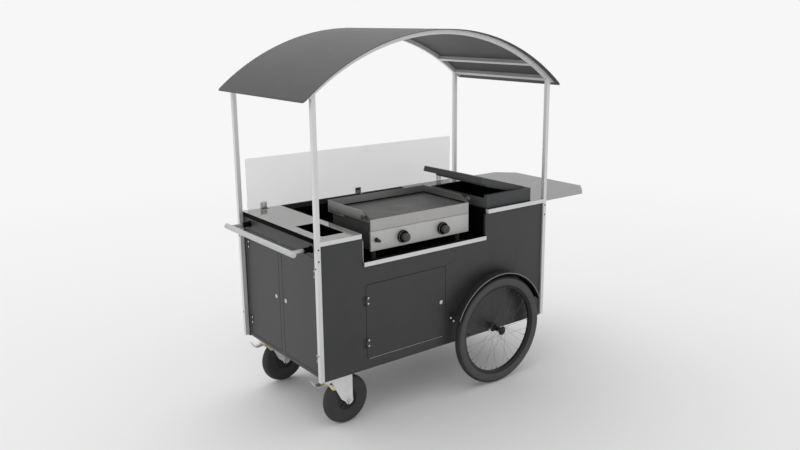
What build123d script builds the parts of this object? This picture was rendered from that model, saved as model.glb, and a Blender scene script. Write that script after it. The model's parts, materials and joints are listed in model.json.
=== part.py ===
import os
from math import asin, cos, degrees, radians, sin, sqrt

from build123d import *

# Body of the cart, in millimetres. X runs along the length, with the push handle
# at the low end, and Y runs across, with the cook's side at the low end.
body_length = 1500.0
body_depth = 800.0
body_bottom = 285.0
counter_height = 973.0
tube = 22.0
tube_wall = 2.0
board = 15.0
sheet = 2.0
panel_recess = 10.0
panel_skirt = 6.0
end_recess = 25.0
floor_height = 45.0
weld_gap = 0.2

# Griddle bay cut into the front panel
bay_left_inset = 260.0
bay_right_inset = 455.0
bay_drop = 142.0
deck_sink = 30.0
bay_corner = 12.0
rail_setback = 13.0

# Front door, and the hinges and locks that all doors share
door_inset = 12.0
door_width = 496.5
door_bottom_margin = 47.0
door_top_margin = 95.0
door_corner = 14.0
door_gap = 2.0
door_hinge_end = 81.5
hinge_leaf_width = 18.0
hinge_leaf_height = 50.0
hinge_leaf_thickness = 2.0
hinge_knuckle_radius = 4.0
hinge_pin_radius = 2.5
pin_clearance = 0.05
knuckle_clearance = 0.3
lock_radius = 8.0
lock_face_radius = 11.0
lock_face_height = 3.0
lock_face_chamfer = 0.8
lock_edge_distance = 30.0
cam_length = 44.0
cam_width = 14.0
cam_thickness = 3.0
cam_clearance = 0.5

# Two doors in the handle end
end_bottom_board = 21.0
end_top_board = 67.0
end_mullion = 32.0
end_stile = 27.0
end_hinge_end = 78.0
end_door_corner = 6.0

# Worktops and side shelf
shelf_reach = 430.0
shelf_corner = 100.0
shelf_side_gap = 0.5
waste_hole_width = 123.0
waste_hole_length = 250.0
waste_hole_right_margin = 47.0
waste_hole_front_margin = 75.0
waste_hole_corner = 6.0
shelf_bracket_spread = 280.0
shelf_bracket_reach = 300.0
shelf_bracket_drop = 200.0
shelf_bracket_width = 30.0
shelf_bracket_thickness = 3.0

# Splash guard
guard_end_inset = 55.0
guard_height = 272.0
guard_thickness = 5.0
guard_corner = 6.0
guard_setback = 17.0
guard_lift = 2.0
guard_bracket_inset = 91.0
guard_bracket_width = 38.0
guard_bracket_height = 35.0
guard_bracket_foot = 25.0
guard_bracket_thickness = 2.0

# Canopy
canopy_end_overhang = 54.0
canopy_side_overhang = 30.0
canopy_top = 1910.0
canopy_rise = 303.0
canopy_thickness = 3.0
canopy_corner = 15.0
rib_end_setback = 19.0
cross_rail_inset = 124.0

# Push handle
handle_reach = 86.0
handle_end_inset = 53.0
handle_drop = 55.0
handle_radius = 14.0
handle_chamfer = 1.5
handle_stub_radius = 10.0
handle_stub_inset = 37.0
socket_length = 42.0
socket_radius = 13.5
socket_flange_radius = 18.0
socket_flange_thickness = 4.0
socket_depth = 22.0
socket_clearance = 0.05

# Spoked wheels
wheel_radius = 301.0
wheel_inset = 402.0
wheel_offset = 44.0
tyre_section = 44.0
tyre_bead = 5.0
rim_height = 28.0
rim_width = 30.0
rim_inner_width = 15.0
spoke_count = 32
spoke_size = 2.2
spoke_sweep = 62.0
spoke_lane = 1.21
hub_length = 80.0
hub_radius = 14.0
hub_flange_radius = 24.0
hub_flange_thickness = 4.0
hub_flange_taper = 8.0
hub_cap_radius = 17.0
hub_cap_taper = 4.0
hub_cap_rise = 4.0
hub_cap_floor = 3.0
axle_bar = 28.0
axle_radius = 6.0
axle_collar_radius = 10.0
seat_gap = 0.3

# Mudguards
mudguard_gap = 13.0
mudguard_crown = 7.0
mudguard_width = 66.0
mudguard_thickness = 2.0
mudguard_start_angle = 20.0
mudguard_end_angle = 160.0
stay_width = 24.0
stay_thickness = 3.0
stay_foot = 34.0
stay_end_angle = 1.0

# Swivel casters
caster_inset = 184.0
caster_side_inset = 84.0
caster_radius = 125.0
caster_width = 48.0
caster_core_radius = 68.0
caster_core_width = 40.0
caster_core_dish = 7.0
caster_core_lip = 4.0
caster_tread_depth = 24.0
caster_tyre_taper = 3.0
caster_boss_radius = 22.0
caster_trail = 64.0
caster_axle_radius = 6.0
caster_axle_head = 9.0
caster_axle_head_length = 6.0
fork_gap = 4.0
fork_thickness = 4.0
fork_crown_clearance = 8.0
fork_lead = 62.0
fork_tail = 25.0
fork_foot_radius = 24.0
fork_corner = 4.0
fork_knee_lead = 45.0
fork_knee_rise = 19.0
fork_heel_lead = 19.0
fork_heel_drop = 14.0
fork_lobe_drop = 44.0
fork_lobe_step = 4.0
fork_lobe_slope = 22.0
fork_crown_inset = 6.0
fork_pin_proud = 2.0
plate_length = 105.0
plate_width = 85.0
plate_thickness = 4.0
plate_corner = 8.0
race_radius = 36.0
race_taper = 6.0
race_clearance = 0.4
kingpin_radius = 8.0
kingpin_nut_radius = 13.0
kingpin_nut_height = 7.0
pedal_pivot_lead = 46.0
pedal_pivot_drop = 20.0
pedal_pin_radius = 4.0
pedal_barrel_radius = 8.0
pedal_width = 38.0
pedal_reach = 58.0
pedal_knee_reach = 32.0
pedal_knee_drop = 4.0
pedal_bend_drop = 2.0
pedal_tip_reach = 18.0
pedal_tip_rise = 26.0
pedal_thickness = 3.0

# Two-burner griddle
griddle_gap = 85.0
griddle_width = 632.0
griddle_setback = 70.0
griddle_length = 385.0
griddle_foot = 51.0
griddle_foot_radius = 14.0
griddle_foot_inset = 32.0
fascia_height = 99.0
fascia_seam = 1.5
apron_height = 58.0
plate_sink = 7.0
cook_plate = 10.0
splash_height = 42.0
splash_slope = 67.0
griddle_sheet = 2.0
housing_inset = 12.0
housing_corner = 18.0
knob_pitch = 256.0
knob_shift = 6.0
knob_rise = 47.0
knob_skirt_radius = 30.0
knob_skirt_height = 5.0
knob_radius = 23.0
knob_length = 28.0
knob_taper = 3.0
knob_chamfer = 1.5
knob_grip_width = 12.0
knob_grip_proud = 3.0
knob_grip_inset = 4.0
knob_gap = 2.0
stem_radius = 4.0
stem_grip = 16.0
igniter_margin = 34.0
igniter_lift = 7.0
igniter_radius = 8.0
igniter_edge = 2.0
igniter_proud = 30.0
igniter_tail = 10.0
igniter_clearance = 0.4
burner_radius = 13.0
burner_length = 260.0
burner_height = 66.0
manifold_radius = 8.0
manifold_setback = 16.0
manifold_overrun = 60.0
housing_hole_room = 2.0
stem_room = 1.0

# Insulated box: its rim is raised along the front and the hinge side, and the lid lies inside that lip
cooler_gap = 9.0
cooler_width = 331.0
cooler_length = 477.0
cooler_rise = 49.0
cooler_wall = 28.0
cooler_side_wall = 12.0
cooler_hinge_wall = 46.0
cooler_corner = 3.0
cooler_inner_corner = 8.0
cooler_hole_gap = 1.5
cooler_lip_rise = 20.0
cooler_front_lip = 24.0
cooler_hinge_lip = 14.0
lid_side_gap = 1.5
lid_rear_overhang = 49.0
lid_grip_overhang = 26.0
lid_thickness = 31.0
lid_plug = 10.0
lid_plug_gap = 3.0
lid_gap = 0.3
lid_open_angle = 15.0
lid_corner = 3.0
lid_chamfer = 1.0
lid_pin_inset = 43.0
lid_hinge_lead = 4.0
lid_knuckle_radius = 6.0
lid_pin_radius = 3.0
lid_knuckle_length = 60.0
lid_knuckle_inset = 113.5
lid_lug_length = 30.0

# Sizes that follow from the ones above
half_l = body_length / 2
half_d = body_depth / 2
bay_left = -half_l + bay_left_inset
bay_right = half_l - bay_right_inset
inner_x = half_l - tube
inner_y = half_d - tube
rail_top = counter_height - sheet
rail_bottom = rail_top - tube
panel_face = half_d - panel_recess
panel_back = panel_face - board
end_face = half_l - end_recess
end_back = end_face - board
floor_top = body_bottom + floor_height
floor_under = floor_top - board
panel_bottom = body_bottom - panel_skirt
sill_top = counter_height - bay_drop
sill_under = sill_top - sheet
sill_rail_bottom = sill_under - tube
deck_top = sill_top - deck_sink
deck_under = deck_top - sheet
deck_rail_bottom = deck_under - tube
left_top_end = bay_left - rail_setback
right_top_start = bay_right + rail_setback
shelf_end = half_l + shelf_reach
cooler_left = right_top_start + cooler_gap
cooler_right = cooler_left + cooler_width
cooler_front = -panel_back
cooler_rear = cooler_front + cooler_length
door_left = bay_left + door_inset
door_bottom = body_bottom + door_bottom_margin
door_height = sill_rail_bottom - door_top_margin - door_bottom
end_door_bottom = body_bottom + end_bottom_board
end_door_height = rail_bottom - end_top_board - end_door_bottom
wheel_x = half_l - wheel_inset
wheel_y = half_d + wheel_offset
rim_outer_radius = wheel_radius - tyre_section + tyre_bead
rim_inner_radius = rim_outer_radius - rim_height
hub_end = wheel_y + hub_length / 2
handle_x = -half_l - handle_reach
handle_length = body_depth - 2 * handle_end_inset
handle_stub_y = handle_length / 2 - handle_stub_inset
handle_z = counter_height - handle_drop
canopy_half_length = half_l + canopy_end_overhang
canopy_depth = body_depth + 2 * canopy_side_overhang
arc_radius = (canopy_half_length**2 + canopy_rise**2) / (2 * canopy_rise)
arc_centre_z = canopy_top - arc_radius
rib_outer_radius = arc_radius - canopy_thickness
rib_inner_radius = rib_outer_radius - tube

# The origin is on the floor, under the middle of the whole outline
middle_x = (shelf_end + handle_x - handle_radius) / 2

sides = {"front": -1, "rear": 1}
parts = {}


# Helpers for plain shapes given by their limits
def block(x0, x1, y0, y1, z0, z1):
    return Pos((x0 + x1) / 2, (y0 + y1) / 2, (z0 + z1) / 2) * Box(x1 - x0, y1 - y0, z1 - z0)


def slab_y(sketch, y0, y1):
    plane = Plane((0, max(y0, y1), 0), x_dir=(1, 0, 0), z_dir=(0, -1, 0))
    return extrude(plane * sketch, abs(y1 - y0))


def slab_x(sketch, x0, x1):
    plane = Plane((min(x0, x1), 0, 0), x_dir=(0, 1, 0), z_dir=(1, 0, 0))
    return extrude(plane * sketch, abs(x1 - x0))


def slab_z(sketch, z0, z1):
    return extrude(Pos(0, 0, z0) * sketch, z1 - z0)


def rounded(u0, u1, v0, v1, radius):
    return Pos((u0 + u1) / 2, (v0 + v1) / 2) * RectangleRounded(u1 - u0, v1 - v0, radius)


def rod_y(x, z, y0, y1, radius):
    return Pos(x, (y0 + y1) / 2, z) * Rot(90, 0, 0) * Cylinder(radius, abs(y1 - y0))


def rod_x(y, z, x0, x1, radius):
    return Pos((x0 + x1) / 2, y, z) * Rot(0, 90, 0) * Cylinder(radius, abs(x1 - x0))


def rod_z(x, y, z0, z1, radius):
    return Pos(x, y, (z0 + z1) / 2) * Cylinder(radius, z1 - z0)


def tube_along(x0, x1, y0, y1, z0, z1, axis):
    wall = {a: (0 if a == axis else tube_wall) for a in "xyz"}
    hollow = block(
        x0 + wall["x"], x1 - wall["x"], y0 + wall["y"], y1 - wall["y"], z0 + wall["z"], z1 - wall["z"]
    )
    return block(x0, x1, y0, y1, z0, z1) - hollow


def canopy_disc(radius, y0, y1):
    return rod_y(0, arc_centre_z, y0, y1, radius)


# Corner posts run from the body's underside up to the canopy ribs
def corner_post(side_x, side_y):
    x0 = min(side_x * half_l, side_x * inner_x)
    y0 = min(side_y * half_d, side_y * inner_y)
    post = tube_along(x0, x0 + tube, y0, y0 + tube, body_bottom, canopy_top, "z")
    return post & canopy_disc(rib_inner_radius - weld_gap, -body_depth, body_depth)


for end_name, side_x in {"left": -1, "right": 1}.items():
    for side_name, side_y in sides.items():
        parts[f"post_{side_name}_{end_name}"] = corner_post(side_x, side_y)


# Front panel with the griddle bay, the door opening and a notch for the axle
def front_panel():
    outline = Pos(0, (panel_bottom + rail_bottom) / 2) * Rectangle(2 * inner_x, rail_bottom - panel_bottom)
    bay = Pos((bay_left + bay_right) / 2, (sill_rail_bottom + counter_height) / 2) * Rectangle(
        bay_right - bay_left, counter_height - sill_rail_bottom
    )
    outline -= bay
    top_corners = [
        v
        for v in outline.vertices()
        if abs(v.Y - rail_bottom) < 1 and min(abs(v.X - bay_left), abs(v.X - bay_right)) < 1
    ]
    outline = fillet(top_corners, bay_corner)
    outline -= rounded(
        door_left - door_gap,
        door_left + door_width + door_gap,
        door_bottom - door_gap,
        door_bottom + door_height + door_gap,
        door_corner + door_gap,
    )
    outline -= axle_notch()
    return slab_y(outline, -panel_face, -panel_back)


def axle_notch():
    top = wheel_radius + axle_bar / 2
    return Pos(wheel_x, (panel_bottom + top) / 2) * Rectangle(axle_bar, top - panel_bottom)


# Rear panel, with a raised strip behind the bay that carries the middle guard bracket
def rear_panel():
    outline = Pos(0, (panel_bottom + rail_bottom) / 2) * Rectangle(2 * inner_x, rail_bottom - panel_bottom)
    outline += Pos((left_top_end + right_top_start) / 2, (panel_bottom + counter_height) / 2) * Rectangle(
        right_top_start - left_top_end, counter_height - panel_bottom
    )
    return slab_y(outline - axle_notch(), panel_back, panel_face)


# Handle end: a frame board with two door openings under the handle
def end_frame():
    opening_outer = panel_back - end_stile
    outline = Pos(0, (body_bottom + rail_bottom) / 2) * Rectangle(2 * panel_back, rail_bottom - body_bottom)
    for side_y in sides.values():
        edges = sorted((side_y * end_mullion / 2, side_y * opening_outer))
        outline -= rounded(
            edges[0],
            edges[1],
            end_door_bottom - door_gap,
            end_door_bottom + end_door_height + door_gap,
            end_door_corner + door_gap,
        )
    return slab_x(outline, -end_face, -end_back)


parts["front_panel"] = front_panel()
parts["rear_panel"] = rear_panel()
parts["end_frame"] = end_frame()
parts["right_end_panel"] = block(end_back, end_face, -panel_back, panel_back, body_bottom, rail_bottom)
parts["floor_board"] = block(-end_back, end_back, -panel_back, panel_back, floor_under, floor_top)


# Sunk deck under the griddle and the insulated box, folded up and over the sill rail, with two side walls
def deck():
    wide = block(bay_left - board, end_back, -panel_back, panel_back, deck_under, deck_top)
    fold_back = -panel_back + sheet
    upstand = block(bay_left, bay_right, -panel_back, fold_back, deck_under, sill_top)
    tongue = block(bay_left, bay_right, -half_d, fold_back, sill_under, sill_top)
    return wide + upstand + tongue


parts["bay_deck"] = deck()
parts["bay_walls"] = Compound(
    [
        block(x0, x0 + board, -panel_back, panel_back, deck_top, rail_top)
        for x0 in (bay_left - board, bay_right)
    ]
)


# Square tube rails under the worktops and the deck
def rails():
    runs = []
    for side_y in sides.values():
        y0 = min(side_y * half_d, side_y * inner_y)
        for x0, x1 in ((-inner_x, left_top_end), (right_top_start, inner_x)):
            runs.append(tube_along(x0, x1, y0, y0 + tube, rail_bottom, rail_top, "x"))
    runs.append(tube_along(bay_left, bay_right, -half_d, -inner_y, sill_rail_bottom, sill_under, "x"))
    runs.append(
        tube_along(
            bay_left - board, end_back, panel_back - tube, panel_back, deck_rail_bottom, deck_under, "x"
        )
    )
    return Compound(runs)


parts["counter_rails"] = rails()


# Worktops: the left one has a waste hole, the right one runs on as a lipped side shelf
def worktop_left():
    top = block(-inner_x, left_top_end, -half_d, half_d, rail_top, counter_height)
    hole_right = left_top_end - waste_hole_right_margin
    hole_front = -half_d + waste_hole_front_margin
    hole_left = hole_right - waste_hole_width
    hole = rounded(hole_left, hole_right, hole_front, hole_front + waste_hole_length, waste_hole_corner)
    return top - slab_z(hole, rail_bottom, counter_height + tube)


def shelf_outline(inset):
    half_w = inner_y - shelf_side_gap - inset
    cut = shelf_corner - inset * (2 - sqrt(2))
    start = half_l + shelf_side_gap + inset
    outline = Pos((start + shelf_end - inset) / 2, 0) * Rectangle(shelf_end - inset - start, 2 * half_w)
    far = [v for v in outline.vertices() if v.X > start + 1]
    return chamfer(far, cut)


def worktop_right():
    top = block(right_top_start, inner_x, -half_d, half_d, rail_top, counter_height)
    neck_y = inner_y - shelf_side_gap
    top += block(inner_x, half_l + shelf_corner, -neck_y, neck_y, rail_top, counter_height)
    tray = slab_z(shelf_outline(0), counter_height - tube, counter_height)
    tray -= slab_z(shelf_outline(sheet), counter_height - 2 * tube, rail_top)
    hole = rounded(
        cooler_left - cooler_hole_gap,
        cooler_left + cooler_width + cooler_hole_gap,
        cooler_front - cooler_hole_gap,
        cooler_front + cooler_length + cooler_hole_gap,
        cooler_corner + cooler_hole_gap,
    )
    return top + tray - slab_z(hole, rail_bottom, counter_height + tube)


def shelf_bracket(y):
    x0 = end_face
    z1 = rail_top
    web = Polyline(
        (x0, z1), (x0 + shelf_bracket_reach, z1), (x0 + shelf_bracket_reach, z1 - tube),
        (x0 + tube, z1 - shelf_bracket_drop), (x0, z1 - shelf_bracket_drop), close=True,
    )
    half_t = shelf_bracket_thickness / 2
    half_w = shelf_bracket_width / 2
    plate = slab_y(make_face(web), y - half_t, y + half_t)
    top_x = half_l + shelf_side_gap + sheet
    flange = block(
        top_x, x0 + shelf_bracket_reach, y - half_w, y + half_w, z1 - shelf_bracket_thickness, z1
    )
    foot = block(
        x0, x0 + shelf_bracket_thickness, y - half_w, y + half_w, z1 - shelf_bracket_drop, rail_bottom
    )
    lip_slot = block(half_l, top_x + 1, y - half_w, y + half_w, z1 - tube - 1, z1 + 1)
    return plate + flange + foot - lip_slot


parts["worktop_left"] = worktop_left()
parts["worktop_right"] = worktop_right()
parts["shelf_brackets"] = Compound([shelf_bracket(s * shelf_bracket_spread / 2) for s in (-1, 1)])

# Clear splash guard on three angle brackets along the back edge
guard_face = half_d - guard_setback
guard_bottom = counter_height + guard_lift
guard_end = half_l - guard_end_inset
parts["splash_guard"] = slab_y(
    rounded(-guard_end, guard_end, guard_bottom, guard_bottom + guard_height, guard_corner),
    guard_face,
    guard_face + guard_thickness,
)


def guard_bracket(x):
    half_w = guard_bracket_width / 2
    t = guard_bracket_thickness
    low = counter_height
    foot = block(x - half_w, x + half_w, guard_face - guard_bracket_foot, guard_face, low, low + t)
    leg = block(x - half_w, x + half_w, guard_face - t, guard_face, low, low + guard_bracket_height)
    return foot + leg


bracket_pitch = guard_end - guard_bracket_inset
parts["splash_brackets"] = Compound([guard_bracket(i * bracket_pitch) for i in (-1, 0, 1)])


# Canopy: one bent sheet with rounded corners on two bent ribs and four cross rails
def canopy_sheet():
    half_y = canopy_depth / 2
    arch = canopy_disc(arc_radius, -half_y, half_y)
    arch -= canopy_disc(rib_outer_radius, -canopy_depth, canopy_depth)
    plan = RectangleRounded(2 * canopy_half_length, canopy_depth, canopy_corner)
    return arch & slab_z(plan, canopy_top - canopy_rise - arc_radius / 4, canopy_top + tube)


def canopy_rib(side_y):
    y0 = min(side_y * half_d, side_y * inner_y)
    outer = rib_outer_radius - weld_gap
    ring = canopy_disc(outer, y0, y0 + tube) - canopy_disc(rib_inner_radius, -body_depth, body_depth)
    core = canopy_disc(outer - tube_wall, y0 + tube_wall, y0 + tube - tube_wall)
    core -= canopy_disc(rib_inner_radius + tube_wall, -body_depth, body_depth)
    half_x = canopy_half_length - rib_end_setback
    end_z = arc_centre_z + sqrt(outer**2 - half_x**2)
    return (ring - core) & block(-half_x, half_x, -half_d, half_d, end_z, canopy_top)


def cross_rail(x):
    mid_radius = (rib_outer_radius - weld_gap + rib_inner_radius) / 2
    lean = degrees(asin(x / mid_radius))
    side = tube - weld_gap
    rail = Box(side, 2 * inner_y, side) - Box(side - 2 * tube_wall, 2 * inner_y, side - 2 * tube_wall)
    return Pos(0, 0, arc_centre_z) * Rot(0, lean, 0) * Pos(0, 0, mid_radius) * rail


post_x = half_l - tube / 2
parts["canopy_sheet"] = canopy_sheet()
parts["canopy_ribs"] = Compound([canopy_rib(s) for s in sides.values()])
parts["canopy_cross_rails"] = Compound(
    [cross_rail(s * x) for s in (-1, 1) for x in (post_x, post_x - cross_rail_inset)]
)


# Push handle: a round bar on two stubs that sit in moulded sockets
def push_handle():
    bar = rod_y(handle_x, handle_z, -handle_length / 2, handle_length / 2, handle_radius)
    bar = chamfer(bar.edges().filter_by(GeomType.CIRCLE), handle_chamfer)
    stub_end = -end_face - socket_length + socket_depth
    for s in (-1, 1):
        bar += rod_x(s * handle_stub_y, handle_z, handle_x, stub_end, handle_stub_radius)
    return bar


def handle_socket(y):
    front = -end_face - socket_length
    cup = rod_x(y, handle_z, front, -end_face, socket_radius)
    cup += rod_x(y, handle_z, -end_face - socket_flange_thickness, -end_face, socket_flange_radius)
    bore = handle_stub_radius + socket_clearance
    return cup - rod_x(y, handle_z, front - 1, front + socket_depth + weld_gap, bore)


parts["push_handle"] = push_handle()
parts["handle_sockets"] = Compound([handle_socket(s * handle_stub_y) for s in (-1, 1)])


# Hinges are built about a pin at the local origin: the door lies towards +x, outwards is +y
hinge_stand = hinge_knuckle_radius + knuckle_clearance


def hinge_leaf(direction):
    x0, x1 = sorted((0, direction * (hinge_leaf_width + door_gap / 2)))
    half = hinge_leaf_height / 2
    return block(x0, x1, -hinge_stand, hinge_leaf_thickness - hinge_stand, -half, half)


def hinge_fixed_leaf():
    quarter = hinge_leaf_height / 4
    half = hinge_leaf_height / 2
    room = hinge_knuckle_radius + knuckle_clearance
    leaf = hinge_leaf(-1) - rod_z(0, 0, -quarter - knuckle_clearance, quarter + knuckle_clearance, room)
    for z0, z1 in ((-half, -quarter - knuckle_clearance), (quarter + knuckle_clearance, half)):
        leaf += rod_z(0, 0, z0, z1, hinge_knuckle_radius)
        leaf += block(-hinge_knuckle_radius, 0, -hinge_stand, 0, z0, z1)
    return leaf + rod_z(0, 0, -half, half, hinge_pin_radius)


def hinge_door_leaf():
    quarter = hinge_leaf_height / 4
    half = hinge_leaf_height / 2
    room = hinge_knuckle_radius + knuckle_clearance
    leaf = hinge_leaf(1)
    for z0, z1 in ((-half, -quarter), (quarter, half)):
        leaf -= rod_z(0, 0, z0, z1, room)
    leaf += rod_z(0, 0, -quarter, quarter, hinge_knuckle_radius)
    leaf += block(0, hinge_knuckle_radius, -hinge_stand, 0, -quarter, quarter)
    return leaf - rod_z(0, 0, -half, half, hinge_pin_radius + pin_clearance)


def hinge_frame(pin, towards_door, outwards):
    up = Vector(*towards_door).cross(Vector(*outwards))
    return Plane(pin, x_dir=towards_door, z_dir=up).location


# A quarter-turn lock about the local z axis, which points outwards. Its cam points to +y at rest
def lock():
    back = board + cam_clearance
    body = Pos(0, 0, (lock_face_height - back) / 2) * Cylinder(lock_radius, lock_face_height + back)
    body += Pos(0, 0, lock_face_height / 2) * Cylinder(lock_face_radius, lock_face_height)
    cam = SlotCenterToCenter(cam_length - cam_width / 2, cam_width, rotation=90)
    cam = Pos(0, (cam_length - cam_width / 2) / 2) * cam
    body += extrude(Pos(0, 0, -back - cam_thickness) * cam, cam_thickness)
    return chamfer(body.edges().group_by(Axis.Z)[-1], lock_face_chamfer)


# The front door, set flush in the front panel
door_pin_x = door_left - door_gap / 2
door_pin_y = -panel_face - hinge_stand
door_mid_z = door_bottom + door_height / 2
door_hinge_rise = door_height / 2 - door_hinge_end
door_hinges = [
    hinge_frame((door_pin_x, door_pin_y, door_mid_z + s * door_hinge_rise), (1, 0, 0), (0, -1, 0))
    for s in (-1, 1)
]
door_lock_x = door_left + door_width - lock_edge_distance


def front_door():
    outline = rounded(door_left, door_left + door_width, door_bottom, door_bottom + door_height, door_corner)
    outline -= Pos(door_lock_x, door_mid_z) * Circle(lock_radius + pin_clearance)
    door = slab_y(outline, -panel_face, -panel_back)
    for place in door_hinges:
        door += place * hinge_door_leaf()
    return door


def lock_frame(place, outwards):
    return Plane(place, x_dir=Vector(0, 0, 1).cross(Vector(*outwards)), z_dir=outwards).location


parts["front_door"] = front_door()
parts["front_door_lock"] = lock_frame((door_lock_x, -panel_face, door_mid_z), (0, -1, 0)) * lock()

# The two doors of the handle end
end_outer = panel_back - end_stile - door_gap
end_inner = end_mullion / 2 + door_gap
end_mid_z = end_door_bottom + end_door_height / 2
end_lock_y = end_inner + lock_edge_distance
end_pin_x = -end_face - hinge_stand
end_pin_y = end_outer + door_gap / 2
end_hinge_rise = end_door_height / 2 - end_hinge_end
end_hinges = {
    name: [
        hinge_frame((end_pin_x, s * end_pin_y, end_mid_z + up * end_hinge_rise), (0, -s, 0), (-1, 0, 0))
        for up in (-1, 1)
    ]
    for name, s in sides.items()
}


def end_door(name):
    s = sides[name]
    y0, y1 = sorted((s * end_inner, s * end_outer))
    outline = rounded(y0, y1, end_door_bottom, end_door_bottom + end_door_height, end_door_corner)
    outline -= Pos(s * end_lock_y, end_mid_z) * Circle(lock_radius + pin_clearance)
    door = slab_x(outline, -end_face, -end_back)
    for place in end_hinges[name]:
        door += place * hinge_door_leaf()
    return door


for name, s in sides.items():
    parts[f"end_door_{name}"] = end_door(name)
    parts[f"end_door_{name}_lock"] = lock_frame((-end_face, s * end_lock_y, end_mid_z), (-1, 0, 0)) * lock()

all_hinges = door_hinges + [place for name in sides for place in end_hinges[name]]
parts["hinge_leaves"] = Compound([place * hinge_fixed_leaf() for place in all_hinges])


# Axle bar under the floor, with a turned stub and collar at each end
def wheel_axle():
    half = axle_bar / 2
    axle = block(
        wheel_x - half, wheel_x + half, -panel_face, panel_face, wheel_radius - half, wheel_radius + half
    )
    hub_inner = wheel_y - hub_length / 2
    stub_end = hub_end - hub_cap_floor
    for s in sides.values():
        axle += rod_y(wheel_x, wheel_radius, s * panel_face, s * (hub_inner - seat_gap), axle_collar_radius)
        axle += rod_y(wheel_x, wheel_radius, s * panel_face, s * stub_end, axle_radius)
    return axle


parts["wheel_axle"] = wheel_axle()


# Spoked wheel about the Y axis at the local origin, with +y outwards
def wheel_tyre():
    middle = wheel_radius - tyre_section / 2
    section = Pos(middle, 0) * Circle(tyre_section / 2)
    bead = rim_outer_radius + weld_gap
    section -= Pos(bead / 2, 0) * Rectangle(bead, 2 * tyre_section)
    return revolve(section, Axis.Y)


def wheel_rim():
    half_w = rim_width / 2
    half_i = rim_inner_width / 2
    shoulder = rim_outer_radius - (rim_outer_radius - rim_inner_radius) / 3
    outer = Polyline(
        (rim_outer_radius, -half_w), (rim_outer_radius, half_w), (shoulder, half_w),
        (rim_inner_radius, half_i), (rim_inner_radius, -half_i), (shoulder, -half_w), close=True,
    )
    return revolve(make_face(outer), Axis.Y)


def wheel_hub():
    flange_y = hub_length / 2 - hub_flange_thickness
    flange_in = flange_y - hub_flange_thickness
    cap_end = hub_length / 2 + hub_cap_rise
    outline = Polyline(
        (0, -hub_length / 2), (hub_radius, -hub_length / 2),
        (hub_radius, -flange_y), (hub_flange_radius, -flange_y),
        (hub_flange_radius, -flange_in), (hub_radius, hub_flange_taper - flange_in),
        (hub_radius, flange_in - hub_flange_taper), (hub_flange_radius, flange_in),
        (hub_flange_radius, flange_y), (hub_cap_radius, flange_y),
        (hub_cap_radius, hub_length / 2), (hub_cap_radius - hub_cap_taper, cap_end), (0, cap_end), close=True,
    )
    hub = revolve(make_face(outline), Axis.Y)
    bore_end = hub_length / 2 - hub_cap_floor + weld_gap
    return hub - rod_y(0, 0, -hub_length, bore_end, axle_radius + pin_clearance)


def wheel_spokes():
    flange_mid = hub_length / 2 - 1.5 * hub_flange_thickness
    spokes = []
    for i in range(spoke_count):
        flange = 1 if i % 2 else -1
        lean = spoke_sweep if i % 4 < 2 else -spoke_sweep
        lane = spoke_lane if i % 4 < 2 else -spoke_lane
        rim_angle = radians(360 * i / spoke_count)
        hub_angle = rim_angle + radians(lean)
        hub_r = hub_flange_radius + seat_gap + spoke_size / 2
        rim_r = rim_inner_radius - seat_gap
        start = Vector(hub_r * cos(hub_angle), flange * flange_mid + lane, hub_r * sin(hub_angle))
        finish = Vector(rim_r * cos(rim_angle), flange * rim_inner_width / 4, rim_r * sin(rim_angle))
        way = finish - start
        plane = Plane(start, z_dir=way)
        spokes.append(extrude(plane * Rectangle(spoke_size, spoke_size), way.length))
    return Compound(spokes)


for name, s in sides.items():
    place = Pos(wheel_x, s * wheel_y, wheel_radius)
    turn = Rot(0, 0, 180) if s < 0 else Rot(0, 0, 0)
    parts[f"wheel_{name}_tyre"] = place * turn * wheel_tyre()
    parts[f"wheel_{name}_rim"] = place * turn * wheel_rim()
    parts[f"wheel_{name}_hub"] = place * turn * wheel_hub()
    parts[f"wheel_{name}_spokes"] = place * turn * wheel_spokes()


# Mudguard: a crowned strip over the tyre with a stay at each end, screwed to the panel
def mudguard(s):
    edge_r = wheel_radius + mudguard_gap
    crown_r = edge_r + mudguard_crown
    half_w = mudguard_width / 2
    t = mudguard_thickness
    lower = ThreePointArc((edge_r, -half_w), (crown_r, 0), (edge_r, half_w))
    upper = ThreePointArc((edge_r + t, -half_w), (crown_r + t, 0), (edge_r + t, half_w))
    section = make_face([lower, upper, Line(lower @ 0, upper @ 0), Line(lower @ 1, upper @ 1)])
    arc = mudguard_end_angle - mudguard_start_angle
    guard = Rot(0, -mudguard_start_angle, 0) * revolve(section, Axis.Y, -arc)
    guard = Pos(wheel_x, s * wheel_y, wheel_radius) * guard
    stay_lean = degrees(stay_width / crown_r) / 2 + stay_end_angle
    reach = wheel_y - panel_face
    stay_r = crown_r + (t + stay_thickness) / 2
    for angle in (mudguard_start_angle + stay_lean, mudguard_end_angle - stay_lean):
        strap = Pos(stay_r, -s * reach / 2, 0) * Box(stay_thickness, reach, stay_width)
        foot_r = stay_r - (stay_foot - stay_thickness) / 2
        foot = Pos(foot_r, -s * (reach - stay_thickness / 2), 0) * Box(stay_foot, stay_thickness, stay_width)
        stay = Rot(0, -angle, 0) * (strap + foot)
        guard += Pos(wheel_x, s * wheel_y, wheel_radius) * stay
    return guard


parts["mudguards"] = Compound([mudguard(s) for s in sides.values()])


# Caster beam under the floor, and the two swivel casters below it
caster_x = -half_l + caster_inset
caster_y = half_d - caster_side_inset
swivel_x = caster_x - caster_trail
beam_half = plate_length / 2
parts["caster_beam"] = tube_along(
    swivel_x - beam_half, swivel_x + beam_half, -panel_back, panel_back, body_bottom, floor_under, "y"
)

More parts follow.
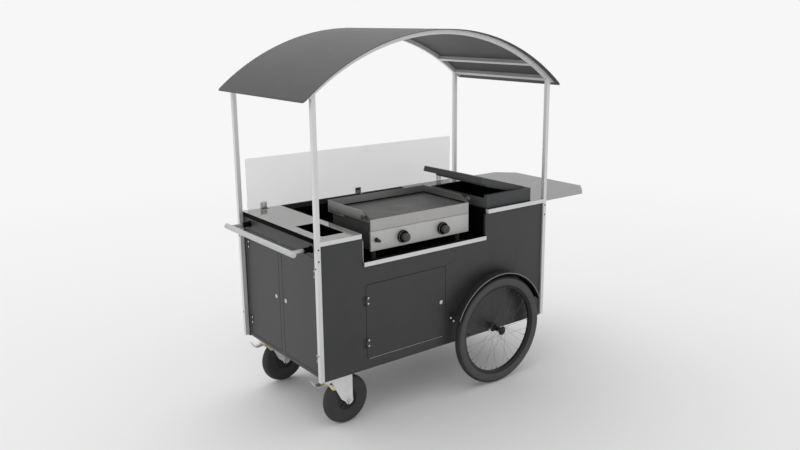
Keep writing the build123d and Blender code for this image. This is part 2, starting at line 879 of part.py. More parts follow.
plate_under = body_bottom - plate_thickness
crown_under = 2 * caster_radius + fork_crown_clearance
crown_top = crown_under + fork_thickness
cheek_inner = caster_width / 2 + fork_gap
cheek_outer = cheek_inner + fork_thickness
pedal_pivot_x = swivel_x - pedal_pivot_lead
pedal_pivot_z = crown_under - pedal_pivot_drop


def caster_plate(y):
    plan = Pos(swivel_x, y) * RectangleRounded(plate_length, plate_width, plate_corner)
    plate = slab_z(plan, plate_under, body_bottom)
    race_low = crown_top + race_clearance
    race = Pos(swivel_x, y, (race_low + plate_under) / 2) * Cone(
        race_radius - race_taper, race_radius, plate_under - race_low
    )
    pin_low = crown_under - race_clearance - kingpin_nut_height
    plate += race + rod_z(swivel_x, y, pin_low, plate_under, kingpin_radius)
    return plate + rod_z(swivel_x, y, pin_low, pin_low + kingpin_nut_height, kingpin_nut_radius)


def fork_outline():
    left = swivel_x - fork_lead
    right = caster_x + fork_tail
    lobe_low = pedal_pivot_z - fork_lobe_drop
    low = Polyline(
        (left, crown_top), (right, crown_top), (right, caster_radius),
        (caster_x, caster_radius - fork_foot_radius),
        (caster_x - fork_heel_lead, caster_radius - fork_heel_drop),
        (caster_x - fork_knee_lead, caster_radius + fork_knee_rise),
        (swivel_x - fork_lobe_step, lobe_low), (left + fork_lobe_slope, lobe_low + fork_lobe_step),
        (left, pedal_pivot_z + fork_lobe_step), close=True,
    )
    face = make_face(low)
    return fillet(face.vertices(), fork_corner)


def caster_fork(y):
    cheeks = [
        slab_y(fork_outline(), y + a, y + b)
        for a, b in ((-cheek_outer, -cheek_inner), (cheek_inner, cheek_outer))
    ]
    crown = block(
        swivel_x - fork_lead + fork_crown_inset, caster_x + fork_tail - fork_crown_inset,
        y - cheek_outer, y + cheek_outer, crown_under, crown_top,
    )
    crown -= rod_z(swivel_x, y, crown_under - 1, crown_top + 1, kingpin_radius + pin_clearance)
    fork = crown + cheeks[0] + cheeks[1]
    fork += rod_y(caster_x, caster_radius, y - cheek_outer, y + cheek_outer, caster_axle_radius)
    head_end = cheek_outer + caster_axle_head_length
    for s in (-1, 1):
        fork += rod_y(caster_x, caster_radius, y + s * cheek_outer, y + s * head_end, caster_axle_head)
    pin_end = cheek_outer + fork_pin_proud
    return fork + rod_y(pedal_pivot_x, pedal_pivot_z, y - pin_end, y + pin_end, pedal_pin_radius)


def caster_tyre(y):
    half_w = caster_width / 2
    shoulder = caster_radius - caster_tread_depth
    bead_w = half_w - caster_tyre_taper
    section = Polyline(
        (caster_core_radius + weld_gap, -bead_w), (shoulder, -half_w),
        (shoulder, half_w), (caster_core_radius + weld_gap, bead_w), close=True,
    )
    face = make_face(section)
    crown = ThreePointArc((shoulder, -half_w), (caster_radius, 0), (shoulder, half_w))
    face += make_face([crown, Line(crown @ 1, crown @ 0)])
    return Pos(caster_x, y, caster_radius) * revolve(face, Axis.Y)


def caster_core(y):
    half_w = caster_core_width / 2
    boss = caster_width / 2 + fork_gap - seat_gap
    web = half_w - caster_core_dish
    bore = caster_axle_radius + pin_clearance
    lip = caster_core_radius - caster_core_lip
    dish = lip - caster_core_lip
    outline = Polyline(
        (bore, -boss), (caster_boss_radius, -boss), (caster_boss_radius, -web), (dish, -web),
        (lip, -half_w), (caster_core_radius, -half_w), (caster_core_radius, half_w), (lip, half_w),
        (dish, web), (caster_boss_radius, web), (caster_boss_radius, boss), (bore, boss), close=True,
    )
    return Pos(caster_x, y, caster_radius) * revolve(make_face(outline), Axis.Y)


def caster_pedal(y):
    px, pz = pedal_pivot_x, pedal_pivot_z
    barrel = rod_y(px, pz, y - cheek_inner + seat_gap, y + cheek_inner - seat_gap, pedal_barrel_radius)
    knee = (px - pedal_knee_reach, pz - pedal_knee_drop)
    bend = (px - pedal_reach, pz - pedal_bend_drop)
    tip = (px - pedal_reach - pedal_tip_reach, pz + pedal_tip_rise)
    path = Polyline((px, pz), knee, bend, tip)
    strip = make_face(offset(path, pedal_thickness / 2).edges())
    pedal = barrel + slab_y(strip, y - pedal_width / 2, y + pedal_width / 2)
    return pedal - rod_y(px, pz, y - cheek_outer, y + cheek_outer, pedal_pin_radius + pin_clearance)


parts["caster_plates"] = Compound([caster_plate(s * caster_y) for s in sides.values()])
for name, s in sides.items():
    parts[f"caster_{name}_fork"] = caster_fork(s * caster_y)
    parts[f"caster_{name}_tyre"] = caster_tyre(s * caster_y)
    parts[f"caster_{name}_core"] = caster_core(s * caster_y)
    parts[f"caster_{name}_pedal"] = caster_pedal(s * caster_y)

# Griddle standing on the deck
griddle_left = bay_left + griddle_gap
griddle_front = -half_d + griddle_setback
griddle_right = griddle_left + griddle_width
griddle_rear = griddle_front + griddle_length
griddle_bottom = deck_top + griddle_foot
seam_z = griddle_bottom + fascia_height
apron_top = seam_z + fascia_seam + apron_height
plate_top = apron_top - plate_sink
plate_low = plate_top - cook_plate
griddle_mid = (griddle_left + griddle_right) / 2 + knob_shift
knob_xs = {"left": griddle_mid - knob_pitch / 2, "right": griddle_mid + knob_pitch / 2}
knob_z = griddle_bottom + knob_rise
igniter_x = griddle_left + igniter_margin
igniter_z = knob_z + igniter_lift
housing_front = griddle_front + housing_inset
manifold_y = housing_front + griddle_sheet + manifold_setback


def griddle_housing():
    x0 = griddle_left + housing_inset
    x1 = griddle_right - housing_inset
    y1 = griddle_rear - housing_inset
    t = griddle_sheet
    shell = slab_z(rounded(x0, x1, housing_front, y1, housing_corner), griddle_bottom, plate_low)
    hollow = rounded(x0 + t, x1 - t, housing_front + t, y1 - t, housing_corner - t)
    shell -= slab_z(hollow, griddle_bottom + t, plate_low + t)
    hole = igniter_radius + housing_hole_room
    for x, z in [(x, knob_z) for x in knob_xs.values()] + [(igniter_x, igniter_z)]:
        shell -= rod_y(x, z, housing_front - t, housing_front + 2 * t, hole)
    return shell


def griddle_fascia():
    t = griddle_sheet
    back = housing_front - weld_gap
    front = block(griddle_left, griddle_right, griddle_front, griddle_front + t, griddle_bottom, seam_z)
    for x0 in (griddle_left, griddle_right - t):
        front += block(x0, x0 + t, griddle_front, back, griddle_bottom, seam_z)
    for z0 in (griddle_bottom, seam_z - t):
        front += block(griddle_left, griddle_right, griddle_front, back, z0, z0 + t)
    for x in knob_xs.values():
        front -= rod_y(x, knob_z, griddle_front - t, griddle_front + 2 * t, stem_radius + stem_room)
    igniter_hole = igniter_radius + igniter_clearance
    return front - rod_y(igniter_x, igniter_z, griddle_front - t, griddle_front + 2 * t, igniter_hole)


def griddle_plate():
    t = griddle_sheet
    return block(
        griddle_left + t, griddle_right - t, griddle_front + t, griddle_rear - t, plate_low, plate_top
    )


# Three splash walls with sloping front ends, and the apron that hangs over the fascia
def griddle_splash():
    t = griddle_sheet
    top = plate_top + splash_height
    low = seam_z + fascia_seam
    side = Polyline(
        (griddle_front, low), (griddle_front, apron_top), (griddle_front + splash_slope, top),
        (griddle_rear, top), (griddle_rear, plate_low), (griddle_front + housing_inset, plate_low),
        (griddle_front + housing_inset, low), close=True,
    )
    walls = [slab_x(make_face(side), x0, x0 + t) for x0 in (griddle_left, griddle_right - t)]
    rear = block(griddle_left, griddle_right, griddle_rear - t, griddle_rear, plate_low, top)
    apron = block(griddle_left, griddle_right, griddle_front, griddle_front + t, low, apron_top)
    return walls[0] + walls[1] + rear + apron


def griddle_feet():
    feet = []
    inset = housing_inset + griddle_foot_inset
    for x in (griddle_left + inset, griddle_right - inset):
        for y in (griddle_front + inset, griddle_rear - inset):
            feet.append(rod_z(x, y, deck_top, griddle_bottom, griddle_foot_radius))
    return Compound(feet)


# Gas pipe, two valves with their stems, and a burner tube behind each valve
def griddle_burners():
    pipe_left = knob_xs["left"] - manifold_overrun
    pipe_right = knob_xs["right"] + manifold_overrun
    pipe = rod_x(manifold_y, knob_z, pipe_left, pipe_right, manifold_radius)
    stem_end = griddle_front - knob_gap - stem_grip
    burner_z = griddle_bottom + burner_height
    burner_y = manifold_y + manifold_radius
    for x in knob_xs.values():
        pipe += rod_y(x, knob_z, stem_end, manifold_y, stem_radius)
        pipe += rod_z(x, burner_y, knob_z, burner_z, manifold_radius)
        pipe += rod_y(x, burner_z, burner_y - manifold_radius, burner_y + burner_length, burner_radius)
    return pipe


def griddle_knob(x):
    skirt = griddle_front - knob_gap
    knob = rod_y(x, knob_z, skirt - knob_skirt_height, skirt, knob_skirt_radius)
    grip = Rot(90, 0, 0) * Cone(knob_radius, knob_radius - knob_taper, knob_length - knob_skirt_height)
    knob += Pos(x, skirt - (knob_length + knob_skirt_height) / 2, knob_z) * grip
    half_g = knob_grip_width / 2
    knob = chamfer(knob.edges().filter_by(GeomType.CIRCLE).group_by(Axis.Y)[0], knob_chamfer)
    ridge = block(
        x - half_g, x + half_g, skirt - knob_length - knob_grip_proud, skirt - knob_skirt_height,
        knob_z - knob_radius + knob_grip_inset, knob_z + knob_radius,
    )
    knob += ridge
    return knob - rod_y(x, knob_z, skirt - stem_grip - weld_gap, skirt + 1, stem_radius + pin_clearance)


def griddle_igniter():
    front = griddle_front - igniter_proud
    button = rod_y(igniter_x, igniter_z, front, griddle_front + igniter_tail, igniter_radius)
    return fillet(button.edges().filter_by(GeomType.CIRCLE).group_by(Axis.Y)[0], igniter_edge)


parts["griddle_housing"] = griddle_housing()
parts["griddle_fascia"] = griddle_fascia()
parts["griddle_plate"] = griddle_plate()
parts["griddle_splash"] = griddle_splash()
parts["griddle_feet"] = griddle_feet()
parts["griddle_burners"] = griddle_burners()
for name, x in knob_xs.items():
    parts[f"griddle_knob_{name}"] = griddle_knob(x)
parts["griddle_igniter"] = griddle_igniter()

# Insulated box standing on the deck, and its lid on two knuckles behind the hinge lip
cooler_rim = counter_height + cooler_rise
cooler_top = cooler_rim + cooler_lip_rise
lid_low = cooler_rim + lid_gap
lid_pin_x = cooler_right - lid_pin_inset
lid_pin_z = lid_low + lid_knuckle_radius
lid_knuckles = [cooler_front + lid_knuckle_inset, cooler_rear - lid_knuckle_inset]
lug_spans = [
    sorted((y + s * (lid_knuckle_length / 2 + seat_gap), y + s * (lid_knuckle_length / 2 + lid_lug_length)))
    for y in lid_knuckles
    for s in (-1, 1)
]


def cooler_box():
    outer = rounded(cooler_left, cooler_right, cooler_front, cooler_rear, cooler_corner)
    box = slab_z(outer, deck_top, cooler_top)
    w = cooler_wall
    side = cooler_side_wall
    hollow = rounded(
        cooler_left + side, cooler_right - cooler_hinge_wall, cooler_front + w, cooler_rear - side,
        cooler_inner_corner,
    )
    box -= slab_z(hollow, deck_top + w, cooler_top + w)
    seat = block(
        cooler_left - w, cooler_right - cooler_hinge_lip, cooler_front + cooler_front_lip, cooler_rear + w,
        cooler_rim, cooler_top + w,
    )
    box -= seat
    for y0, y1 in lug_spans:
        box += block(
            lid_pin_x - lid_knuckle_radius, cooler_right - cooler_hinge_lip, y0, y1,
            cooler_rim - lid_knuckle_radius, lid_pin_z,
        )
        box += rod_y(lid_pin_x, lid_pin_z, y0, y1, lid_knuckle_radius)
    for y in lid_knuckles:
        pin_half = lid_knuckle_length / 2 + lid_pin_radius
        box += rod_y(lid_pin_x, lid_pin_z, y - pin_half, y + pin_half, lid_pin_radius)
    return box


def cooler_lid():
    front = cooler_front + cooler_front_lip + lid_side_gap
    rear = cooler_rear + lid_rear_overhang
    left = cooler_left - lid_grip_overhang
    end = lid_pin_x + lid_hinge_lead
    top = slab_z(rounded(left, end, front, rear, lid_corner), lid_low, lid_low + lid_thickness)
    top = chamfer(top.faces().sort_by(Axis.Z)[-1].edges(), lid_chamfer)
    side = cooler_side_wall + lid_plug_gap
    plug_front = cooler_front + cooler_wall + lid_plug_gap
    plug_end = lid_pin_x - lid_knuckle_radius - lid_plug_gap
    plug = rounded(cooler_left + side, plug_end, plug_front, cooler_rear - side, cooler_inner_corner)
    lid = top + slab_z(plug, lid_low - lid_plug, lid_low + weld_gap)
    lid -= block(lid_pin_x, end + lid_hinge_lead, front, rear, lid_low - lid_plug, lid_pin_z)
    lid += rod_y(lid_pin_x, lid_pin_z, front + lid_corner, rear - lid_corner, lid_knuckle_radius)
    room = lid_knuckle_radius + lid_side_gap
    low = lid_low - lid_plug
    high = lid_low + 2 * lid_thickness
    for y0, y1 in lug_spans:
        lid -= block(lid_pin_x - room, end + room, y0 - seat_gap, y1 + seat_gap, low, high)
    lid -= rod_y(lid_pin_x, lid_pin_z, front - lid_plug, rear + lid_plug, lid_pin_radius + pin_clearance)
    hinge_line = Axis((lid_pin_x, 0, lid_pin_z), (0, 1, 0))
    return lid.rotate(hinge_line, lid_open_angle)


parts["cooler_box"] = cooler_box()
parts["cooler_lid"] = cooler_lid()

os.makedirs("parts", exist_ok=True)
for name, shape in parts.items():
    placed = Pos(-middle_x, 0, 0) * shape
    placed.label = name
    export_step(placed, f"parts/{name}.step")
print(len(parts), "parts written, origin moved by", round(middle_x, 2), "mm")
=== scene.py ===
import json
from math import atan2, cos, degrees, hypot, pi, radians, sin, sqrt

import bmesh
import bpy
from mathutils import Matrix, Vector


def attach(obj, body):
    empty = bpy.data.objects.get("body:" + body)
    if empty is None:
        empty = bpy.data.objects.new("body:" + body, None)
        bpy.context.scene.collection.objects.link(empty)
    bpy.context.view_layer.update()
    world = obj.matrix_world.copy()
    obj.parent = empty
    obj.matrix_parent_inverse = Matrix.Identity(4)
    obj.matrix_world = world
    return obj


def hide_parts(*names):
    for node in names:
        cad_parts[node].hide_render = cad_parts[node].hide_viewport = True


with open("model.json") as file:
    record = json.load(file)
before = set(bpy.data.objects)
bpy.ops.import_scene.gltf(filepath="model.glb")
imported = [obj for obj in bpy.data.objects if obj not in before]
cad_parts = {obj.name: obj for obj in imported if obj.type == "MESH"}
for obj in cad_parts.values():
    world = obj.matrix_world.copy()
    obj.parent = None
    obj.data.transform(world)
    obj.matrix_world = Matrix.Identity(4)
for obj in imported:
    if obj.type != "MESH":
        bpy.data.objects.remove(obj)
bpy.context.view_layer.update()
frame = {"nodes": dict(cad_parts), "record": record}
cad = frame["nodes"]
scene = bpy.context.scene
scene.view_settings.view_transform = "Standard"
print("frame loaded:", len(cad), "nodes")

# Drawings below are in millimetres about the middle of the cart's body
bodyMiddle = -0.165
toMetres = Matrix.Translation((bodyMiddle, 0, 0)) @ Matrix.Scale(0.001, 4)
sides = {"front": -1, "rear": 1}
mergeWithin = 0.002
# Edges steeper than this many degrees stay sharp: on soft forms, on small metalwork, on flat boards
softSharp, metalSharp, flatSharp = 38, 30, 20


# Mesh helpers
def newMeshes(count):
    return [bmesh.new() for part in range(count)]


def beveled(bm, edges, offset, segments=2):
    bmesh.ops.bevel(bm, geom=list(edges), offset=offset, segments=segments, profile=0.5,
                    affect="EDGES", material=-1)


def easeCorners(bm, angle, width):
    steep = radians(angle)
    beveled(bm, [e for e in bm.edges if len(e.link_faces) == 2 and e.calc_face_angle() > steep], width)


def addBox(bm, corner, opposite, bevel, segments=2, turn=None):
    made = bmesh.ops.create_cube(bm, size=1)["verts"]
    bmesh.ops.scale(bm, vec=[abs(b - a) for a, b in zip(corner, opposite)], verts=made)
    bmesh.ops.translate(bm, vec=[(a + b) / 2 for a, b in zip(corner, opposite)], verts=made)
    if turn:
        bmesh.ops.transform(bm, matrix=turn, verts=made)
    beveled(bm, {e for v in made for e in v.link_edges}, bevel, segments)


def axes(origin, xDir, zDir):
    x, z = Vector(xDir).normalized(), Vector(zDir).normalized()
    place = Matrix((x, z.cross(x), z)).transposed().to_4x4()
    place.translation = Vector(origin)
    return place


# A plane for outlines in x and z, whose prisms grow along -Y
def uprightAt(y):
    return axes((0, y, 0), (1, 0, 0), (0, -1, 0))


def polar(r, angle):
    return r * cos(radians(angle)), r * sin(radians(angle))


# Profiles are pairs of radius and height along the axis
def addLathe(bm, profile, centre, axis, steps, side=None, angle=360):
    axis = Vector(axis).normalized()
    side = Vector(side or axis.orthogonal()).normalized()
    verts = [bm.verts.new(Vector(centre) + side * r + axis * h) for r, h in profile]
    edges = [bm.edges.new(pair) for pair in zip(verts, verts[1:])]
    bmesh.ops.spin(bm, geom=verts + edges, cent=centre, axis=axis, angle=radians(angle), steps=steps,
                   use_merge=angle == 360)


# A closed profile from one half, where both halves are the same
def bothHalves(half):
    return [*half, *((r, -h) for r, h in reversed(half)), half[0]]


def grownVerts(grown):
    return [g for g in grown["geom"] if isinstance(g, bmesh.types.BMVert)]


def addPrism(bm, outline, place, depth, bevel):
    face = bm.faces.new([bm.verts.new(place @ Vector((u, v, 0))) for u, v in outline])
    grown = bmesh.ops.extrude_face_region(bm, geom=[face], use_keep_orig=True)
    bmesh.ops.translate(bm, vec=place.to_3x3() @ Vector((0, 0, depth)), verts=grownVerts(grown))
    caps = [g for g in grown["geom"] if isinstance(g, bmesh.types.BMFace) and len(g.verts) == len(outline)]
    beveled(bm, {e for f in (face, *caps) for e in f.edges}, bevel)


def addRod(bm, start, end, radius, bevel, steps):
    way = Vector(end) - Vector(start)
    b = min(bevel, radius / 2)
    tip = [(0, 0), (radius - b, 0), (radius - 0.3 * b, 0.3 * b), (radius, b)]
    addLathe(bm, tip + [(r, way.length - h) for r, h in reversed(tip)], start, way, steps)


def roundedOutline(u0, u1, v0, v1, r):
    points = []
    for cu, cv, first in ((u1 - r, v1 - r, 0), (u0 + r, v1 - r, 90), (u0 + r, v0 + r, 180), (u1 - r, v0 + r, 270)):
        for step in range(0, 91, 15):
            du, dv = polar(r, first + step)
            points.append((cu + du, cv + dv))
    return points


# One domed screw head with a socket, in shares of its radius and height
screwShape = [(0, 0.45), (0.42, 0.45), (0.42, 1), (0.72, 1), (0.94, 0.62), (1, 0.2)]
screwRoot = -0.4


def addScrew(bm, at, way, radius, height):
    profile = [(radius * u, height * v) for u, v in screwShape] + [(radius, screwRoot), (0, screwRoot)]
    addLathe(bm, profile, at, way, 16)


def addHex(bm, place, flat, height):
    addPrism(bm, [polar(flat / sqrt(3), 60 * i) for i in range(6)], place, height, 0.05 * flat)


def newObject(name, data):
    made = bpy.data.objects.new(name, data)
    scene.collection.objects.link(made)
    return made


def meshObject(bm, name, mat):
    mesh = bpy.data.meshes.new(name)
    bm.to_mesh(mesh)
    bm.free()
    mesh.materials.append(mat)
    return newObject(name, mesh)


def finishPiece(bm, name, body, mat, replaced=(), sharp=softSharp, fixNormals=True):
    bmesh.ops.remove_doubles(bm, verts=bm.verts, dist=mergeWithin)
    if fixNormals:
        bmesh.ops.recalc_face_normals(bm, faces=bm.faces)
    bmesh.ops.transform(bm, matrix=toMetres, verts=bm.verts)
    piece = meshObject(bm, name, mat)
    piece.data.shade_smooth()
    piece.data.set_sharp_from_angle(angle=radians(sharp))
    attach(piece, body)
    if replaced:
        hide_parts(*replaced)


def lathePiece(name, body, mat, profile, centre, axis, steps, replaced=()):
    bm = bmesh.new()
    addLathe(bm, profile, centre, axis, steps)
    finishPiece(bm, name, body, mat, replaced)


# Shader groups that several finishes share
vectorInputs = ("Vector", "Stretch")


def newGroup(name, inputs, outputs):
    group = bpy.data.node_groups.new(name, "ShaderNodeTree")
    for label in ("Vector", *inputs):
        kind = "NodeSocketVector" if label in vectorInputs else "NodeSocketFloat"
        group.interface.new_socket(label, in_out="INPUT", socket_type=kind)
    for label in outputs:
        group.interface.new_socket(label, in_out="OUTPUT", socket_type="NodeSocketFloat")
    return group, group.nodes.new("NodeGroupInput").outputs, group.nodes.new("NodeGroupOutput").inputs


# Inputs are values or other nodes' outputs, by label or by number
def feed(tree, node, inputs):
    for label, value in inputs.items():
        if isinstance(value, bpy.types.NodeSocket):
            tree.links.new(value, node.inputs[label])
        else:
            node.inputs[label].default_value = value


def addNode(tree, kind, inputs, **settings):
    node = tree.nodes.new("ShaderNode" + kind)
    for label, value in settings.items():
        setattr(node, label, value)
    feed(tree, node, inputs)
    return node.outputs


def mathNode(tree, operation, *values, clamp=False):
    return addNode(tree, "Math", dict(enumerate(values)), operation=operation, use_clamp=clamp)[0]


# Patches of handling, 0 to 1: a slow noise broken up by a quicker one
patchNoises = [{"detail": 3, "scale": 1, "share": 0.7}, {"detail": 4, "scale": 5.3, "share": 0.3}]


def makeHandling():
    g, given, result = newGroup("handling", ["Size", "Contrast"], ["Patch"])
    shares = []
    for n in patchNoises:
        scale = mathNode(g, "MULTIPLY", given["Size"], n["scale"])
        noise = addNode(g, "TexNoise", {"Vector": given["Vector"], "Scale": scale, "Detail": n["detail"]})
        shares.append(mathNode(g, "MULTIPLY", noise["Fac"], n["share"]))
    centred = mathNode(g, "SUBTRACT", mathNode(g, "ADD", *shares), 0.5)
    steeper = mathNode(g, "MULTIPLY", centred, given["Contrast"])
    g.links.new(mathNode(g, "ADD", steeper, 0.5, clamp=True), result["Patch"])
    return g


# Fine surface grain, as on plastic and powder coat: rounded cells and a coarser noise in equal shares
grainMix = {"noiseScale": 0.6, "share": 0.6}


def makeGrain():
    g, given, result = newGroup("grain", ["Size"], ["Height"])
    cells = addNode(g, "TexVoronoi", {"Vector": given["Vector"], "Scale": given["Size"]}, feature="SMOOTH_F1")
    coarser = mathNode(g, "MULTIPLY", given["Size"], grainMix["noiseScale"])
    noise = addNode(g, "TexNoise", {"Vector": given["Vector"], "Scale": coarser})
    shares = [mathNode(g, "MULTIPLY", height, grainMix["share"]) for height in (cells["Distance"], noise["Fac"])]
    g.links.new(mathNode(g, "ADD", *shares), result["Height"])
    return g


# Brush lines: noise drawn out along one way
brushNoise = {"Scale": 1, "Detail": 5, "Roughness": 0.7}


def makeBrush():
    g, given, result = newGroup("brushLines", ["Stretch"], ["Line"])
    stretched = addNode(g, "VectorMath", {0: given["Vector"], 1: given["Stretch"]}, operation="MULTIPLY")[0]
    g.links.new(addNode(g, "TexNoise", {"Vector": stretched, **brushNoise})["Fac"], result["Line"])
    return g


# Foam beads pressed together, with darker seams
beadSeam = {"steep": 7, "dome": 0.5}


def makeBeads():
    g, given, result = newGroup("beads", ["Size"], ["Height", "Seam", "Tone"])
    cells = addNode(g, "TexVoronoi", {"Vector": given["Vector"], "Scale": given["Size"]})
    edges = addNode(g, "TexVoronoi", {"Vector": given["Vector"], "Scale": given["Size"]}, feature="DISTANCE_TO_EDGE")
    seam = mathNode(g, "MULTIPLY", edges["Distance"], beadSeam["steep"], clamp=True)
    g.links.new(mathNode(g, "POWER", seam, beadSeam["dome"]), result["Height"])
    g.links.new(seam, result["Seam"])
    g.links.new(addNode(g, "SeparateColor", {"Color": cells["Color"]})["Red"], result["Tone"])
    return g


# Tread blocks round a wheel that turns about Y, from coordinates centred on it
treadBlock = {"cover": 0.55, "steep": 2.2}


def makeTread():
    g, given, result = newGroup("tread", ["Count", "Slant"], ["Height"])
    parts = addNode(g, "SeparateXYZ", {"Vector": given["Vector"]})
    turn = mathNode(g, "MULTIPLY", mathNode(g, "ARCTAN2", parts["Z"], parts["X"]), given["Count"])
    lean = mathNode(g, "MULTIPLY", mathNode(g, "ABSOLUTE", parts["Y"]), given["Slant"])
    wave = mathNode(g, "SINE", mathNode(g, "ADD", turn, lean))
    covered = mathNode(g, "ADD", wave, treadBlock["cover"])
    g.links.new(mathNode(g, "MULTIPLY", covered, treadBlock["steep"], clamp=True), result["Height"])
    return g


handlingGroup = makeHandling()
grainGroup = makeGrain()
brushGroup = makeBrush()
beadGroup = makeBeads()
treadGroup = makeTread()
print("shader groups ready")


# Finishes
def placeGroup(tree, group, coords, **values):
    return addNode(tree, "Group", {"Vector": coords, **values}, node_tree=group)


# The Mix node has a set of sockets for each kind of value: first, second and result
mixSockets = {"FLOAT": (2, 3, 0), "RGBA": (6, 7, 2)}


def mixNode(tree, kind, factor, a, b):
    first, second, result = mixSockets[kind]
    return addNode(tree, "Mix", {0: factor, first: a, second: b}, data_type=kind)[result]


def spread(tree, value, low, high):
    return addNode(tree, "MapRange", {"Value": value, "To Min": low, "To Max": high})["Result"]


def grey(level):
    return level, level, level, 1


def tone(hexValue):
    values = [int(hexValue[i:i + 2], 16) / 255 for i in (0, 2, 4)]
    return *(v / 12.92 if v <= 0.04045 else ((v + 0.055) / 1.055) ** 2.4 for v in values), 1


plainLook = {"patchSize": 6, "patchContrast": 1.6, "bump": 0.2, "depth": 0.0001, "seamShade": 0.62,
             "beadTone": 0.35, "dustSize": 14, "dustContrast": 2.4, "dustTone": "8a8782"}
shaderInputs = {"metallic": "Metallic", "specular": "Specular IOR Level", "clear": "Transmission Weight",
                "ior": "IOR"}


def newMaterial(name, slot, dark, light, rough, **own):
    look = {**plainLook, **own}
    mat = bpy.data.materials.new(name)
    mat["slot"] = slot
    mat.use_nodes = True
    tree = mat.node_tree
    coords = addNode(tree, "TexCoord", {})["Object"]
    if "centre" in look:  # patterns that go round a wheel start from its centre
        away = [-c for c in toMetres @ Vector(look["centre"])]
        coords = addNode(tree, "Mapping", {"Vector": coords, "Location": away})["Vector"]
    dark, light = tone(dark), tone(light)
    patch = placeGroup(tree, handlingGroup, coords, Size=look["patchSize"], Contrast=look["patchContrast"])["Patch"]
    colour = mixNode(tree, "RGBA", patch, dark, light)
    rough = spread(tree, patch, *rough)
    height = None
    if "brush" in look:
        height = placeGroup(tree, brushGroup, coords, Stretch=look["brush"])["Line"]
        change = spread(tree, height, -look["brushRough"], look["brushRough"])
        rough = mathNode(tree, "ADD", rough, change, clamp=True)
        colour = mixNode(tree, "RGBA", spread(tree, height, 0, look["brushTone"]), colour, dark)
    if "grain" in look:
        height = placeGroup(tree, grainGroup, coords, Size=look["grain"])["Height"]
    if "beads" in look:
        beads = placeGroup(tree, beadGroup, coords, Size=look["beads"])
        height = beads["Height"]
        seam = (*(look["seamShade"] * c for c in dark[:3]), 1)
        colour = mixNode(tree, "RGBA", beads["Seam"], seam, colour)
        colour = mixNode(tree, "RGBA", spread(tree, beads["Tone"], 0, look["beadTone"]), colour, light)
    if "tread" in look:
        height = placeGroup(tree, treadGroup, coords, **look["tread"])["Height"]
    if "dust" in look:  # pale dust that settles in larger patches
        dust = placeGroup(tree, handlingGroup, coords, Size=look["dustSize"], Contrast=look["dustContrast"])["Patch"]
        colour = mixNode(tree, "RGBA", spread(tree, dust, 0, look["dust"]), colour, tone(look["dustTone"]))
    given = {label: look[key] for key, label in shaderInputs.items() if key in look}
    given.update({"Base Color": colour, "Roughness": rough})
    if "edgeTint" in look:  # how much of the mirror is left at a low angle
        given["Specular Tint"] = grey(look["edgeTint"])
    if height is not None:
        relief = {"Strength": look["bump"], "Distance": look["depth"], "Height": height}
        given["Normal"] = addNode(tree, "Bump", relief)["Normal"]
    feed(tree, tree.nodes["Principled BSDF"], given)
    return mat


along = {"x": (30, 2600, 2600), "y": (2600, 30, 2600), "z": (2600, 2600, 30)}
aluminiumLook = {"slot": "frame_aluminium", "dark": "d3d4d5", "light": "dfdfe0", "rough": (0.42, 0.54),
                 "metallic": 0.45, "brushRough": 0.05, "brushTone": 0.2, "bump": 0.06, "depth": 0.00005}
aluminium = {a: newMaterial("aluminium_" + a, brush=along[a], **aluminiumLook) for a in along}
handleLook = {**aluminiumLook, "dark": "bcbdbd", "light": "c8c8c9", "rough": (0.3, 0.4), "metallic": 0.7}
handleAlloy = newMaterial("handleAlloy", brush=along["y"], **handleLook)
steelLook = {"slot": "stainless", "dark": "a2a2a1", "light": "acacab", "rough": (0.07, 0.11), "metallic": 1.0,
             "edgeTint": 0.65, "brushRough": 0.04, "brushTone": 0.3, "bump": 0.05, "depth": 0.00005, "patchSize": 9}
shelfSteel = newMaterial("shelfSteel", brush=along["x"], **steelLook)
topLook = {**steelLook, "dark": "acacab", "light": "b6b6b5", "edgeTint": 0.92}
worktopSteel = newMaterial("worktopSteel", brush=along["y"], **topLook)
splashLook = {**steelLook, "dark": "a2a1a0", "light": "afaead", "rough": (0.3, 0.36), "metallic": 0.95}
splashSteel = newMaterial("splashSteel", brush=along["x"], **splashLook)
fasciaLook = {**steelLook, "dark": "bfbfbd", "light": "cacac8", "rough": (0.48, 0.56), "metallic": 0.75}
fasciaSteel = newMaterial("fasciaSteel", brush=along["x"], **fasciaLook)
laminate = newMaterial("laminate", "panel_board", "252626", "2b2c2c", (0.42, 0.52), specular=0.58, grain=1500,
                       bump=0.12, patchSize=3, patchContrast=0.8, dust=0.03)
canopyCoat = newMaterial("canopyCoat", "canopy_sheet", "4d4d4e", "555556", (0.44, 0.54), specular=0.14, grain=1100,
                         bump=0.1, patchSize=2.5, dust=0.06)
# The bay's black lining, deepened to almost no reflection to paint the shade inside the bay; the same black paints
# shade in the sheets under the worktop's end and at the bay's back
bayBlackAndShade = newMaterial("bayBlackAndShade", "bay_lining", "050505", "0b0b0b", (0.45, 0.6), specular=0.02, grain=1300,
                       bump=0.12, patchSize=4)
clearSheet = newMaterial("clearSheet", "clear_sheet", "f2f2f2", "f8f8f8", (0.26, 0.34), clear=0.82, ior=1.45,
                         patchSize=5)
blackPlastic = newMaterial("blackPlastic", "black_plastic", "161617", "222223", (0.38, 0.52), grain=1800, dust=0.05)
foam = newMaterial("beadFoam", "cooler_foam", "4c4d4e", "58595a", (0.62, 0.75), specular=0.2, beads=260, bump=0.5,
                   depth=0.0005)
# Painted shade: black foam for the sheet inside the cooler box
insideShadeBlack = newMaterial("insideShadeBlack", "cooler_foam", "0a0a0a", "101010", (0.6, 0.75), specular=0.04, beads=260,
                         bump=0.3, depth=0.0002)
darkPaint = newMaterial("darkPaint", "chassis_steel", "232324", "2f2f30", (0.42, 0.55), grain=900)
hingePaint = newMaterial("hingePaint", "chassis_steel", "39393a", "444445", (0.4, 0.5), grain=900, bump=0.15)
